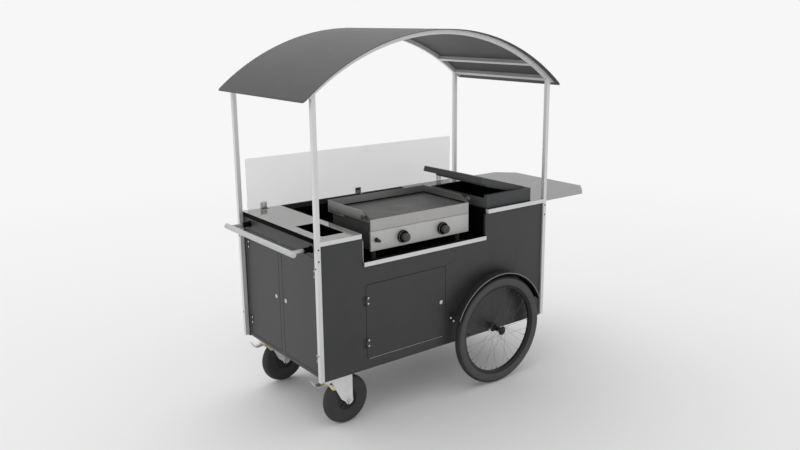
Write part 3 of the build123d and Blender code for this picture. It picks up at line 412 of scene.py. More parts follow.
enamel = newMaterial("enamel", "griddle_steel", "464645", "525251", (0.22, 0.3), grain=700, bump=0.15)
cookSteel = newMaterial("cookSteel", "cook_plate", "464645", "646362", (0.36, 0.6), metallic=0.55,
                        brush=(60, 900, 60), brushRough=0.08, brushTone=0.4, bump=0.12, patchSize=11,
                        patchContrast=2.4)
zinc = newMaterial("zincPlate", "zinc_steel", "e0e1e1", "eeeeed", (0.34, 0.46), metallic=0.35, grain=600, bump=0.1,
                   patchSize=40, patchContrast=2.2)
yellowZinc = newMaterial("yellowZinc", "zinc_steel", "d9c998", "eae2c6", (0.3, 0.42), metallic=0.4, grain=600,
                         bump=0.1, patchSize=50, patchContrast=2.6)
chrome = newMaterial("chrome", "lock_chrome", "c4c4c4", "dcdcdc", (0.1, 0.22), metallic=1.0, patchSize=60)
screwSteel = newMaterial("screwSteel", "zinc_steel", "bdbdbb", "dadad8", (0.22, 0.36), metallic=0.9, patchSize=120)
blackScrew = newMaterial("blackScrew", "chassis_steel", "1b1b1c", "2a2a2b", (0.35, 0.5), metallic=0.4, patchSize=120)
footRubber = newMaterial("footRubber", "foot_rubber", "3a3a3a", "474747", (0.65, 0.8), grain=900, depth=0.0002)
rimBlack = newMaterial("rimBlack", "rim_black", "0b0b0c", "141415", (0.34, 0.46), metallic=0.3, grain=1200,
                       bump=0.08, patchSize=20)
hubAlloy = newMaterial("hubAlloy", "rim_black", "222223", "303032", (0.3, 0.42), metallic=0.6, grain=1200, bump=0.08,
                       patchSize=40)
spokeSteel = newMaterial("spokeSteel", "spoke_steel", "5c5c5e", "6c6c6e", (0.3, 0.42), metallic=0.9, patchSize=60)
casterCore = newMaterial("casterCore", "caster_core", "0e0e0f", "171718", (0.45, 0.6), grain=1200, dust=0.08)
tyreLook = {"slot": "tyre_rubber", "rough": (0.62, 0.78), "dust": 0.09, "dustTone": "6f6c68"}
smoothLook = {**tyreLook, "grain": 900, "depth": 0.0002}
# Painted shade: the tread is drawn darker than the walls of the same rubber
treadLook = {**tyreLook, "dark": "1d1d1e", "light": "262627", "tread": {"Count": 150, "Slant": 260}, "bump": 0.55,
             "depth": 0.0012}
wallRubber = newMaterial("wallRubber", dark="3f3f40", light="49494a", **smoothLook)
plainRubber = newMaterial("plainRubber", dark="29292a", light="303031", **smoothLook)
# Black plastic of the mudguard strip, drawn darker still to paint the shade on the strip's top
guardPlastic = newMaterial("guardPlastic", "black_plastic", "222223", "2a2a2b", (0.4, 0.5), grain=1600, bump=0.15)
# A lighter grey that paints highlights: on the knob skirts' rims, the mudguards' beads and the right thumb knob; it
# is also the knobs' pointer marks
knobGrey = newMaterial("knobGrey", "black_plastic", "6a6a6b", "787879", (0.3, 0.42), grain=1800, bump=0.15)
knobBlack = newMaterial("knobBlack", "black_plastic", "363637", "424243", (0.34, 0.46), grain=1800)
# Black plastic with almost no reflection, deepened to paint shade: in the handle cups and knob skirts, whose own
# colour is black, and in the mudguards' linings and the strip at the foot of the griddle's walls
shadeBlackPlastic = newMaterial("shadedPlastic", "black_plastic", "050505", "0a0a0a", (0.6, 0.7), specular=0.04, grain=1600,
                         bump=0.1, depth=0.0002)
print("materials ready")

bodyOf = {node: body for body, nodes in frame["record"]["behaviour"]["bodies"].items() for node in nodes}
easing = {"merge": 0.01, "flat": 0.6, "corner": 35}


# A copy of a CAD shape, merged and with its sharp edges eased, for boards, sheets and tubes
def easedCopy(nodeName, mat, width):
    bm = bmesh.new()
    bm.from_mesh(cad[nodeName].data)
    bmesh.ops.transform(bm, matrix=toMetres.inverted(), verts=bm.verts)
    bmesh.ops.remove_doubles(bm, verts=bm.verts, dist=easing["merge"])
    bmesh.ops.dissolve_limit(bm, angle_limit=radians(easing["flat"]), verts=bm.verts, edges=bm.edges)
    easeCorners(bm, easing["corner"], width)
    finishPiece(bm, nodeName + "_eased", bodyOf[nodeName], mat, [nodeName], flatSharp, fixNormals=False)


eased = [
    (laminate, 1.0, ["front_panel", "rear_panel", "end_frame", "right_end_panel", "floor_board"]),
    # The bay's walls and deck in a black that partly paints the shade under the griddle
    (bayBlackAndShade, 1.0, ["bay_walls"]), (bayBlackAndShade, 0.5, ["bay_deck"]),
    (worktopSteel, 0.5, ["worktop_left"]), (shelfSteel, 0.5, ["worktop_right"]),
    (shelfSteel, 0.6, ["shelf_brackets", "splash_brackets"]),
    (aluminium["z"], 0.9, ["post_front_left", "post_rear_left", "post_front_right", "post_rear_right"]),
    (aluminium["x"], 0.9, ["counter_rails", "canopy_ribs"]), (aluminium["y"], 0.9, ["canopy_cross_rails"]),
    (canopyCoat, 0.9, ["canopy_sheet"]), (clearSheet, 1.0, ["splash_guard"]),
    (enamel, 0.6, ["griddle_housing"]), (fasciaSteel, 0.6, ["griddle_fascia"]),
    (cookSteel, 1.2, ["griddle_plate"]), (splashSteel, 0.6, ["griddle_splash"]),
    (foam, 1.2, ["cooler_box"]), (foam, 0.8, ["cooler_lid"]), (zinc, 0.6, ["caster_plates"]),
]
for mat, width, nodes in eased:
    for nodeName in nodes:
        easedCopy(nodeName, mat, width)
print("boards, sheets and tubes ready")

# Doors: a board, its hinge leaves and screws, and a cam lock
doorBuild = {"thick": 15, "edge": 1.0, "leaf": 19, "leafHalf": 25, "leafThick": 2, "leafEdge": 0.6, "pinOut": 4.3,
             "knuckle": 4, "knuckleEdge": 0.5, "knuckleHalf": 12.4, "knuckleGap": 0.3, "screwOut": 12,
             "screwRise": 14, "screw": (4.6, 1.6), "fixedScrew": (4.6, 1.2)}
lockBuild = {"back": 15.5, "cam": 3, "camEdge": 0.4, "camOutline": (-7, 7, -7, 44, 6.9),
             "keyway": ((-0.9, -4.3, 2), (0.9, 4.3, 2.45)), "keyEdge": 0.15}
lockProfile = [(0, 2.3), (6.4, 2.3), (6.8, 3), (10.1, 3), (10.75, 2.7), (11, 2), (11, 0), (8, 0), (8, -15.5),
               (0, -15.5)]
frontFace = uprightAt(-390)
endFace = axes((-725, 0, 0), (0, -1, 0), (-1, 0, 0))
doors = {
    "front_door": {"face": frontFace, "outline": (-478, 18.5, 332, 712), "corner": 14, "pin": -479, "way": 1,
                   "hinges": (413.5, 630.5), "lock": (-11.5, 522)},
}
endDoor = {"middle": 182, "half": 164, "low": 306, "high": 882, "pin": 347, "lock": 48, "lockZ": 594}
for name, s in sides.items():
    e, u = endDoor, -s * endDoor["middle"]
    doors["end_door_" + name] = {"face": endFace, "outline": (u - e["half"], u + e["half"], e["low"], e["high"]),
                                 "corner": 6, "pin": -s * e["pin"], "way": s, "hinges": (384, 804),
                                 "lock": (-s * e["lock"], e["lockZ"])}
fixedLeaves = bmesh.new()
fixedScrews = bmesh.new()


def addLeaf(bm, hinge, way, knuckles):
    b = doorBuild
    low, half = -b["pinOut"], b["leafHalf"]
    addBox(bm, (0, -half, low), (way * b["leaf"], half, low + b["leafThick"]), b["leafEdge"], turn=hinge)
    for first, last in knuckles:
        addRod(bm, hinge @ Vector((0, first, 0)), hinge @ Vector((0, last, 0)), b["knuckle"], b["knuckleEdge"], 24)


def makeDoor(name, d):
    b = doorBuild
    board, leaves, screws = newMeshes(3)
    inside = d["face"] @ Matrix.Translation((0, 0, -b["thick"]))
    addPrism(board, roundedOutline(*d["outline"], d["corner"]), inside, b["thick"], b["edge"])
    end, half, far = b["leafHalf"], b["knuckleHalf"], b["knuckleHalf"] + b["knuckleGap"]
    out, top = d["way"] * b["screwOut"], b["leafThick"] - b["pinOut"]
    outward = d["face"].col[2].to_3d()
    for v in d["hinges"]:
        hinge = d["face"] @ Matrix.Translation((d["pin"], v, b["pinOut"]))
        addLeaf(leaves, hinge, d["way"], [(-half, half)])
        addLeaf(fixedLeaves, hinge, -d["way"], [(-end, -far), (far, end)])
        for rise in (-b["screwRise"], b["screwRise"]):
            addScrew(screws, hinge @ Vector((out, rise, top)), outward, *b["screw"])
            addScrew(fixedScrews, hinge @ Vector((-out, rise, top)), outward, *b["fixedScrew"])
    finishPiece(board, name + "_board", name, laminate, [name], flatSharp)
    finishPiece(leaves, name + "_leaves", name, hingePaint)
    finishPiece(screws, name + "_screws", name, zinc)


def makeLock(name, d):
    b = lockBuild
    place = d["face"] @ Matrix.Translation((*d["lock"], 0))
    barrel, keyway = newMeshes(2)
    addLathe(barrel, lockProfile, place.translation, place.col[2].to_3d(), 40)
    behind = place @ Matrix.Translation((0, 0, -b["back"] - b["cam"]))
    addPrism(barrel, roundedOutline(*b["camOutline"]), behind, b["cam"], b["camEdge"])
    addBox(keyway, *b["keyway"], b["keyEdge"], turn=place)
    finishPiece(barrel, name + "_barrel", name, chrome, [name])
    finishPiece(keyway, name + "_keyway", name, blackScrew)


for name, d in doors.items():
    makeDoor(name, d)
    makeLock(name + "_lock", d)
finishPiece(fixedLeaves, "hinge_fixed_leaves", "cart", darkPaint, ["hinge_leaves"])
finishPiece(fixedScrews, "hinge_fixed_screws", "cart", blackScrew)
print("doors ready")

# Push handle on two stubs in moulded sockets
handle = {"x": -836, "z": 918, "half": 347, "radius": 14, "edge": 1.6, "stub": 310, "stubRadius": 10,
          "stubEdge": 0.6, "stubEnd": -745, "panel": -725, "flange": 4, "screwRing": 15.4,
          "screwTurns": (90, 210, 330), "screw": (1.7, 1)}
cupProfile = [(0, 0), (18, 0), (18, 2.8), (16.8, 4), (14.5, 4), (13.8, 4.6), (13.5, 5.6), (13, 40.6), (12, 42),
              (10.1, 42), (10.1, 20), (0, 20)]


def makeHandle():
    h = handle
    bar, cups, screws = newMeshes(3)
    addRod(bar, (h["x"], -h["half"], h["z"]), (h["x"], h["half"], h["z"]), h["radius"], h["edge"], 48)
    for s in sides.values():
        y = s * h["stub"]
        addRod(bar, (h["x"], y, h["z"]), (h["stubEnd"], y, h["z"]), h["stubRadius"], h["stubEdge"], 40)
        addLathe(cups, cupProfile, (h["panel"], y, h["z"]), (-1, 0, 0), 44)
        for turn in h["screwTurns"]:
            dy, dz = polar(h["screwRing"], turn)
            at = (h["panel"] - h["flange"], y + dy, h["z"] + dz)
            addScrew(screws, at, (-1, 0, 0), *h["screw"])
    finishPiece(bar, "handle_bar", "cart", handleAlloy, ["push_handle"])
    finishPiece(cups, "handle_cups", "cart", shadeBlackPlastic, ["handle_sockets"])
    finishPiece(screws, "handle_cup_screws", "cart", blackScrew)


makeHandle()
print("handle ready")

# Spoked wheels, drawn about their own centre with +Y outwards. Tread angles are from the crown of the tyre
wheel = {"x": 348, "y": 444, "radius": 301, "section": 22, "steps": 144, "treadEdge": 55, "wallEdge": 63,
         "sunk": 1.8, "under": 0.4, "grooves": (-33, -11, 11, 33), "grooveEdges": (-3.2, -2.2, 2.2, 3.2),
         "grooveHalf": 2.5, "grooveDeep": 1.2}
lacing = {"count": 32, "sweep": 62, "radius": 0.5, "edge": 0.2, "flange": 34, "lane": 1.21, "hole": 20, "bend": 25.4,
          "rim": 234, "rimLane": 3.75, "nipple": 1.5, "nippleEdge": 0.4, "nippleLong": 12.5}
valve = [((236, 0, 23), (206, 0, 20), 3.0, 0.6), ((214, 0, 21), (201, 0, 19.6), 3.9, 0.8)]
wallFlap = [(270, 21.4), (262, 19.6), (256, 17.8), (252.4, 16.9), (251.6, 15.9), (262.3, 15.9), (262.3, 0)]
rimProfile = bothHalves([(255, 6), (257.5, 12), (262, 12.8), (262, 15), (261, 15.6), (253.5, 15.3), (251, 14.2),
                         (241, 9.6), (236, 8), (234, 6.5)])
hubProfile = [(0, -40), (12.6, -40), (14, -38.6), (14, -36.4), (22.6, -36), (24, -35), (24, -33), (22.6, -32),
              (17, -28), (14.4, -24), (13.2, -12), (13.2, 12), (14.4, 24), (17, 28), (22.6, 32), (24, 33), (24, 35),
              (22.6, 36), (17.4, 36.3), (17, 37), (17, 39), (16.2, 40.6), (13.6, 43.4), (12.4, 44), (7.5, 44),
              (6.5, 43), (0, 43)]


def onTyre(angle, sunk):
    r, h = polar(wheel["section"] - sunk, angle)
    return wheel["radius"] - wheel["section"] + r, h


# Both side walls in one piece, sunk under the tread band and lapping over the rim's edges
def wallProfile():
    w = wheel
    half = [onTyre(a, w["sunk"]) for a in range(0, w["wallEdge"] + 1, 9)]
    half += [onTyre(a, 0) for a in range(w["wallEdge"] + 1, 91, 4)] + wallFlap
    return [(r, -h) for r, h in reversed(half)] + half[1:]


def treadProfile():
    w = wheel
    marks = list(range(-w["treadEdge"], w["treadEdge"] + 1, 5))
    marks += [g + e for g in w["grooves"] for e in w["grooveEdges"]]
    outer = []
    for a in sorted(marks):
        grooved = any(abs(a - g) < w["grooveHalf"] for g in w["grooves"])
        outer.append(onTyre(a, w["grooveDeep"] if grooved else 0))
    inner = [onTyre(a, w["sunk"] + w["under"]) for a in (w["treadEdge"], -w["treadEdge"])]
    return outer + inner + outer[:1]


def aboutY(r, angle, y):
    x, z = polar(r, angle)
    return Vector((x, y, z))


def addSpokes(bm, place):
    k = lacing
    for i in range(k["count"]):
        flange = 1 if i % 2 else -1
        lane = 1 if i % 4 < 2 else -1
        rimTurn = 360 * i / k["count"]
        hubTurn = rimTurn + lane * k["sweep"]
        y = flange * k["flange"] + lane * k["lane"]
        hole = place @ aboutY(k["hole"], hubTurn, y)
        bend = place @ aboutY(k["bend"], hubTurn, y)
        end = place @ aboutY(k["rim"], rimTurn, flange * k["rimLane"])
        nipple = end + (bend - end).normalized() * k["nippleLong"]
        addRod(bm, hole, bend, k["radius"], k["edge"], 8)
        addRod(bm, bend, end, k["radius"], k["edge"], 8)
        addRod(bm, nipple, end, k["nipple"], k["nippleEdge"], 8)


def makeWheel(name, s):
    body = "wheel_" + name
    centre = Vector((wheel["x"], s * wheel["y"], wheel["radius"]))
    place = Matrix.Translation(centre) @ Matrix.Rotation(0 if s > 0 else pi, 4, "Z")
    treadRubber = newMaterial("rubber_" + name, centre=centre, **treadLook)
    axle, steps = (0, 1, 0), wheel["steps"]
    lathePiece(body + "_tread", body, treadRubber, treadProfile(), centre, axle, steps, [body + "_tyre"])
    lathePiece(body + "_walls", body, wallRubber, wallProfile(), centre, axle, steps)
    rim, spokes = newMeshes(2)
    addLathe(rim, rimProfile, centre, axle, steps)
    for start, end, radius, edge in valve:
        addRod(rim, place @ Vector(start), place @ Vector(end), radius, edge, 16)
    finishPiece(rim, body + "_hoop", body, rimBlack, [body + "_rim"])
    lathePiece(body + "_barrel", body, hubAlloy, hubProfile, centre, (0, s, 0), 48, [body + "_hub"])
    addSpokes(spokes, place)
    finishPiece(spokes, body + "_lacing", body, spokeSteel, [body + "_spokes"])


for name, s in sides.items():
    makeWheel(name, s)
print("wheels ready")

# Mudguards: a crowned strip with rolled edges on two strap stays; a black sheet with lips underneath paints the
# shade over the tyre, and lighter beads along the edges paint their highlight
mudguard = {"edge": 318.5, "crown": 2.5, "half": 26, "thick": 2, "roll": (1, 0.8), "rows": 8, "first": 22,
            "last": 158, "steps": 56, "panel": 390, "bead": 3.2, "beadLift": 0.6, "shadeLining": 0.6, "shadeLiningIn": 1,
            "shadeLiningGap": 0.05, "lip": 12.5}
stay = {"turns": (23.14, 156.86), "half": (12, 18), "strap": 323.5, "halfThick": 1.5, "over": 16, "foot": 34,
        "footThick": 3, "edge": 0.8, "footScrews": (297, 314), "footScrew": (4.2, 2.2),
        "strapScrews": ((43, 5), (16, 14)), "strapScrew": (5.4, 2.6)}


def crownLine(half):
    g = mudguard
    rows = [i / g["rows"] * half for i in range(-g["rows"], g["rows"] + 1)]
    return [(g["edge"] + g["crown"] * (1 - (h / g["half"]) ** 2), h) for h in rows]


def guardProfile():
    g = mudguard
    line = crownLine(g["half"])
    upper = [(r + g["thick"], h) for r, h in line]
    rollR, rollH = g["edge"] + g["roll"][0], g["half"] + g["roll"][1]
    return upper + [(rollR, rollH)] + line[::-1] + [(rollR, -rollH), upper[0]]


# Painted shade: a black sheet under the strip, with a lip hanging down at each edge, darkens the gap over the tyre
def shadeLiningProfile():
    g = mudguard
    line = crownLine(g["half"] - g["shadeLiningIn"])
    upper = [(r - g["shadeLiningGap"], h) for r, h in line]
    lower = [(r - g["shadeLining"], h) for r, h in line[1:-1]]
    lips = [(g["edge"] - g["lip"], h) for r, h in (line[0], line[-1])]
    return upper + [lips[1]] + lower[::-1] + [lips[0], upper[0]]


def beadProfile(s):
    g = mudguard
    ring = [polar(g["bead"], a) for a in range(0, 361, 30)]
    return [(g["edge"] + g["bead"] * g["beadLift"] + u, v - s * g["half"]) for u, v in ring]


def addStay(stays, screws, centre, s, angle, half):
    k = stay
    reach = wheel["y"] - mudguard["panel"]
    low, top = k["strap"] - k["halfThick"], k["strap"] + k["halfThick"]
    turn = Matrix.Translation(centre) @ Matrix.Rotation(radians(-angle), 4, "Y")
    addBox(stays, (low, s * k["over"], -half), (top, -s * reach, half), k["edge"], turn=turn)
    footIn = -s * (reach - k["footThick"])
    addBox(stays, (top - k["foot"], -s * reach, -half), (k["strap"], footIn, half), k["edge"], turn=turn)
    for r in k["footScrews"]:
        head = turn @ Vector((r, footIn, 0))
        addScrew(screws, head, (0, s, 0), *k["footScrew"])
    down = 1 if angle > 90 else -1
    outward = turn.to_3x3() @ Vector((1, 0, 0))
    for inward, across in k["strapScrews"]:
        head = turn @ Vector((top, -s * inward, down * across))
        addScrew(screws, head, outward, *k["strapScrew"])


def makeMudguards():
    g = mudguard
    strip, shadeLining, beads, stays, screws = newMeshes(5)
    for s in sides.values():
        centre = Vector((wheel["x"], s * wheel["y"], wheel["radius"]))
        start = aboutY(1, g["first"], 0)
        for bm, profile in ((strip, guardProfile()), (shadeLining, shadeLiningProfile()), (beads, beadProfile(s))):
            addLathe(bm, profile, centre, (0, -1, 0), g["steps"], start, g["last"] - g["first"])
        for angle, half in zip(stay["turns"], stay["half"]):
            addStay(stays, screws, centre, s, angle, half)
    for bm in (strip, shadeLining, beads):
        bmesh.ops.remove_doubles(bm, verts=bm.verts, dist=mergeWithin)
        bmesh.ops.holes_fill(bm, edges=[e for e in bm.edges if len(e.link_faces) == 1], sides=0)
    finishPiece(strip, "mudguard_strips", "cart", guardPlastic, ["mudguards"])
    # Painted shade under the mudguard strips
    finishPiece(shadeLining, "mudguard_shade_linings", "cart", shadeBlackPlastic)
    # Painted highlight: the beads are lighter than the strip
    finishPiece(beads, "mudguard_beads", "cart", knobGrey)
    finishPiece(stays, "mudguard_stays", "cart", darkPaint)
    finishPiece(screws, "mudguard_screws", "cart", zinc)


makeMudguards()
print("mudguards ready")

# Swivel casters: tyre, core, fork with its coloured bracket, pedal and plate bolts
caster = {"x": -566, "y": 316, "z": 125, "swivel": -630, "half": 24, "shoulder": 101, "steps": 132}
casterWall = [(52, -14), (52, -17.6), (53.6, -19.6), (68.3, -21), (74, -22.4), (88, -23.2), (96, -24)]
casterArc = [polar(caster["half"], a) for a in range(-90, 91, 6)]
casterProfile = [*casterWall, *((caster["shoulder"] + r, h) for r, h in casterArc),
                 *((r, -h) for r, h in reversed(casterWall)), casterWall[0]]
pressed = {"lean": (24, 80), "every": 3, "deep": 1.9, "narrow": 0.97}
coreProfile = bothHalves([(6.2, -27.4), (20.6, -27.4), (22, -26), (22, -14), (24, -13), (57, -13), (60, -14),
                          (63.4, -19.4), (64.6, -20), (67.4, -20), (68, -19.4)])
rib = {"count": 8, "from": 21, "to": 62, "low": 12, "high": 18, "half": 2, "edge": 0.8}


# Blocks along both shoulders of the tread: every third row of points is pressed in
def pressTread(bm, centre):
    low, high = pressed["lean"]
    for v in bm.verts:
        out = v.co - centre
        r = hypot(out.x, out.z)
        lean = degrees(atan2(abs(out.y), r - caster["shoulder"]))
        row = round(atan2(out.z, out.x) / (2 * pi) * caster["steps"])
        if r > caster["shoulder"] and low < lean < high and row % pressed["every"] == 0:
            press = (r - pressed["deep"]) / r
            v.co = centre + Vector((out.x * press, out.y * pressed["narrow"], out.z * press))


def makeCasterWheel(name, s):
    c = caster
    node = "caster_" + name
    body = node + "_wheel"
    centre = Vector((c["x"], s * c["y"], c["z"]))
    tyre, core = newMeshes(2)
    addLathe(tyre, casterProfile, centre, (0, 1, 0), c["steps"], (1, 0, 0))
    bmesh.ops.remove_doubles(tyre, verts=tyre.verts, dist=mergeWithin)
    pressTread(tyre, centre)
    finishPiece(tyre, node + "_tread", body, plainRubber, [node + "_tyre"])
    addLathe(core, coreProfile, centre, (0, 1, 0), 72)
    for i in range(rib["count"]):
        turn = Matrix.Translation(centre) @ Matrix.Rotation(radians(360 * i / rib["count"]), 4, "Y")
        for side in (-1, 1):
            addBox(core, (rib["from"], side * rib["low"], -rib["half"]),
                   (rib["to"], side * rib["high"], rib["half"]), rib["edge"], turn=turn)
    finishPiece(core, node + "_spider", body, casterCore, [node + "_core"])


fork = {"cheek": 28, "cheekOut": 32, "cheekEdge": 0.8, "bracket": 30, "bracketThick": 3.4, "bracketEdge": 0.6,
        "pivot": (-676, 238), "hole": (-664, 239), "slot": ((-570, 104), (-566.6, 118)), "slotDeep": 1,
        "slotProud": 0.4, "slotEdge": 0.2, "nut": (15, 4.4), "nutOut": 1.5, "axle": 6, "axleEdge": 0.4,
        "crown": ((-686, 258), (-547, 262)), "crownHalf": 31, "crownEdge": 1.2, "race": 261.8,
        "strap": ((-691, 240), (-688, 258)), "strapHalf": 30, "strapEdge": 0.8}
cheekEnd = {"x": -561, "z": 124, "radius": 22, "turns": range(24, -137, -14)}
cheekArc = [polar(cheekEnd["radius"], a) for a in cheekEnd["turns"]]
cheekOutline = [(-690, 262), (-541, 262), (-541, 133),
                *((cheekEnd["x"] + x, cheekEnd["z"] + z) for x, z in cheekArc),
                (-583, 121), (-606, 140), (-633, 193), (-636, 204), (-658, 241), (-692, 250)]
bracketOutline = [(-690, 251), (-672, 249), (-652, 226), (-635, 208), (-634, 199), (-652, 201), (-660, 208),
                  (-681, 238)]
washerProfile = [(0, 0), (11.5, 0), (11.5, 1.2), (11, 1.6), (0, 1.6)]
rivetProfile = [(0, 0.8), (3, 0.8), (3.6, 0.4), (3.6, 0), (0, 0)]
# Painted shade: a black disc over the fork's hole
holeShadeProfile = [(0, 0.5), (5.4, 0.5), (6, 0.2), (6, -0.4), (0, -0.4)]
raceProfile = [(9, 0), (33, 0), (36, 1.2), (36, 3), (30, 6), (9, 6), (9, 0)]


# A box from two corners in x and z, and two places along y
def addPlate(bm, corners, y0, y1, bevel):
    (x0, z0), (x1, z1) = corners
    addBox(bm, (x0, y0, z0), (x1, y1, z1), bevel)


def makeFork(name, s):
    c, f = caster, fork
    body = "caster_" + name
    y = s * c["y"]
    cheeks, bracket, bolts, holeShades = newMeshes(4)
    for side in (-1, 1):
        start = y + max(side * f["cheek"], side * f["cheekOut"])
        addPrism(cheeks, cheekOutline, uprightAt(start), f["cheekOut"] - f["cheek"], f["cheekEdge"])
        start = y + side * f["bracket"] + f["bracketThick"] / 2
        addPrism(bracket, bracketOutline, uprightAt(start), f["bracketThick"], f["bracketEdge"])
        out, way = y + side * f["cheekOut"], (0, side, 0)
        addLathe(bolts, washerProfile, (c["x"], out, c["z"]), way, 32)
        addHex(bolts, axes((c["x"], out + side * f["nutOut"], c["z"]), (1, 0, 0), way), *f["nut"])
        addLathe(bolts, rivetProfile, (f["pivot"][0], out, f["pivot"][1]), way, 20)
        # Painted shade: black discs and plates in the fork's hole and slot
        addLathe(holeShades, holeShadeProfile, (f["hole"][0], out, f["hole"][1]), way, 24)
        addPlate(holeShades, f["slot"], out - side * f["slotDeep"], out + side * f["slotProud"], f["slotEdge"])
    addPlate(cheeks, f["crown"], y - f["crownHalf"], y + f["crownHalf"], f["crownEdge"])
    axle = [(c["x"], y + side * f["cheekOut"], c["z"]) for side in (-1, 1)]
    addRod(cheeks, *axle, f["axle"], f["axleEdge"], 24)
    addLathe(cheeks, raceProfile, (c["swivel"], y, f["race"]), (0, 0, 1), 48)
    addPlate(bracket, f["strap"], y - f["strapHalf"], y + f["strapHalf"], f["strapEdge"])
    finishPiece(cheeks, body + "_cheeks", body, zinc, [body + "_fork"], metalSharp)
    finishPiece(bracket, body + "_bracket", body, yellowZinc, sharp=metalSharp)
    finishPiece(bolts, body + "_bolts", body, screwSteel, sharp=metalSharp)
    finishPiece(holeShades, body + "_hole_shades", body, casterCore, sharp=metalSharp)


pedal = {"half": 19, "thick": 3, "edge": 0.7, "corner": 60, "sleeve": 8, "sleeveHalf": 27.6, "sleeveEdge": 0.8}
pedalPath = [(-666, 237.4), (-690, 236.6), (-708, 234.6), (-722, 234.6), (-733, 236.6), (-738, 240), (-742, 246),
             (-747, 256), (-751, 264.5)]


# A strip bent along a path, thickened, with its edges eased, on a sleeve about the pivot
def makePedal(name, s):
    p = pedal
    body = "caster_" + name + "_pedal"
    y = s * caster["y"]
    bm = bmesh.new()
    verts = [bm.verts.new((x, y - p["half"], z + p["thick"] / 2)) for x, z in pedalPath]
    edges = [bm.edges.new(pair) for pair in zip(verts, verts[1:])]
    grown = bmesh.ops.extrude_edge_only(bm, edges=edges)
    bmesh.ops.translate(bm, vec=(0, 2 * p["half"], 0), verts=grownVerts(grown))
    faces = bm.faces[:]
    bm.normal_update()
    if faces[0].normal.z < 0:
        bmesh.ops.reverse_faces(bm, faces=faces)
    bmesh.ops.solidify(bm, geom=faces, thickness=p["thick"])
    bm.normal_update()
    easeCorners(bm, p["corner"], p["edge"])
    px, pz = fork["pivot"]
    addRod(bm, (px, y - p["sleeveHalf"], pz), (px, y + p["sleeveHalf"], pz), p["sleeve"], p["sleeveEdge"], 28)
    finishPiece(bm, body + "_strip", body, screwSteel, [body], metalSharp)


plateBolt = {"dx": 41, "dy": 31, "z": 281, "size": (13, 6)}
plateBolts = bmesh.new()
for name, s in sides.items():
    makeCasterWheel(name, s)
    makeFork(name, s)
    makePedal(name, s)
    for dx in (-plateBolt["dx"], plateBolt["dx"]):
        for dy in (-plateBolt["dy"], plateBolt["dy"]):
            at = (caster["swivel"] + dx, s * caster["y"] + dy, plateBolt["z"])
            addHex(plateBolts, axes(at, (1, 0, 0), (0, 0, -1)), *plateBolt["size"])
finishPiece(plateBolts, "caster_plate_bolts", "cart", screwSteel, sharp=metalSharp)
print("casters ready")

# Griddle fittings: knobs, igniter, feet, thumb knobs and a dark bar that paints the shade along the splash wall's
# sloping edge
griddle = {"front": -330, "knobZ": 899, "knobs": {"left": -211, "right": 45}, "igniter": (-371, 906), "gap": 2,
           "feet": [(-361, -286), (183, -286), (-361, 11), (183, 11)], "deck": 801,
           "edgeShade": ((-404.6, -266, 1045.4), (-404.6, -328, 1013), 1.4, 0.4),
           "bar": ((-5, -17, 26), (5, 20.2, 36.8), 1.2), "mark": ((-0.8, 8, 36.4), (0.8, 19.2, 37), 0.2)}
skirtProfile = [(0, 0), (31.4, 0), (32.4, 1), (32.4, 9), (31.6, 10.4), (29.8, 10.8), (24, 10.2), (0, 10.2)]
# Painted highlight: a lighter ring on the skirt's front edge
rimHighlightProfile = [(29.4, 9.6), (31.4, 9.6), (31.6, 11), (30.6, 12), (29.6, 11.6), (29.4, 9.6)]
gripProfile = [(0, 9), (19.6, 9), (19.4, 11), (22.4, 33), (22, 35), (20.6, 36), (0, 36)]
buttonProfile = [(0, 30), (5.2, 30), (6.9, 29.4), (7.8, 28.2), (8, 27), (8, -10), (0, -10)]
collarProfile = [(8.6, 0), (8.6, 7.4), (9.4, 8), (10, 7.8), (10.4, 7), (10.6, 3), (12, 2.4), (12.4, 1.6), (12.4, 0),
                 (8.6, 0)]
footProfile = [(0, 0), (13, 0), (14, 0.8), (14, 4.4), (13.2, 5.4), (13.4, 6.4), (13.8, 44), (13, 47), (12.8, 51),
               (0, 51)]
thumbProfile = [(0, -1), (4, -1), (4, 31), (9, 31.6), (12, 33), (13, 35), (13, 41), (12, 43), (9, 44.4), (0, 45)]
# Both thumb knobs are one part: the left is drawn black to paint its shade, the right grey to paint its light
thumbs = {"left": {"at": (-405, -282, 1017), "out": (-1, 0, 0), "reach": 0.36, "finish": knobBlack},
          "right": {"at": (227, -281, 1019), "out": (1, 0, 0), "reach": 1, "finish": knobGrey}}


def makeKnob(name, x):
    body = "griddle_knob_" + name
    place = axes((x, griddle["front"] - griddle["gap"], griddle["knobZ"]), (1, 0, 0), (0, -1, 0))
    turned = place.translation, (0, -1, 0), 56
    lathePiece(body + "_skirt", body, shadeBlackPlastic, skirtProfile, *turned)
    lathePiece(body + "_rim_highlight", body, knobGrey, rimHighlightProfile, *turned)
    grip, mark = newMeshes(2)
    addLathe(grip, gripProfile, *turned)
    addBox(grip, *griddle["bar"], 3, turn=place)
    finishPiece(grip, body + "_grip", body, knobBlack, [body])
    addBox(mark, *griddle["mark"], turn=place)
    finishPiece(mark, body + "_pointer", body, knobGrey)


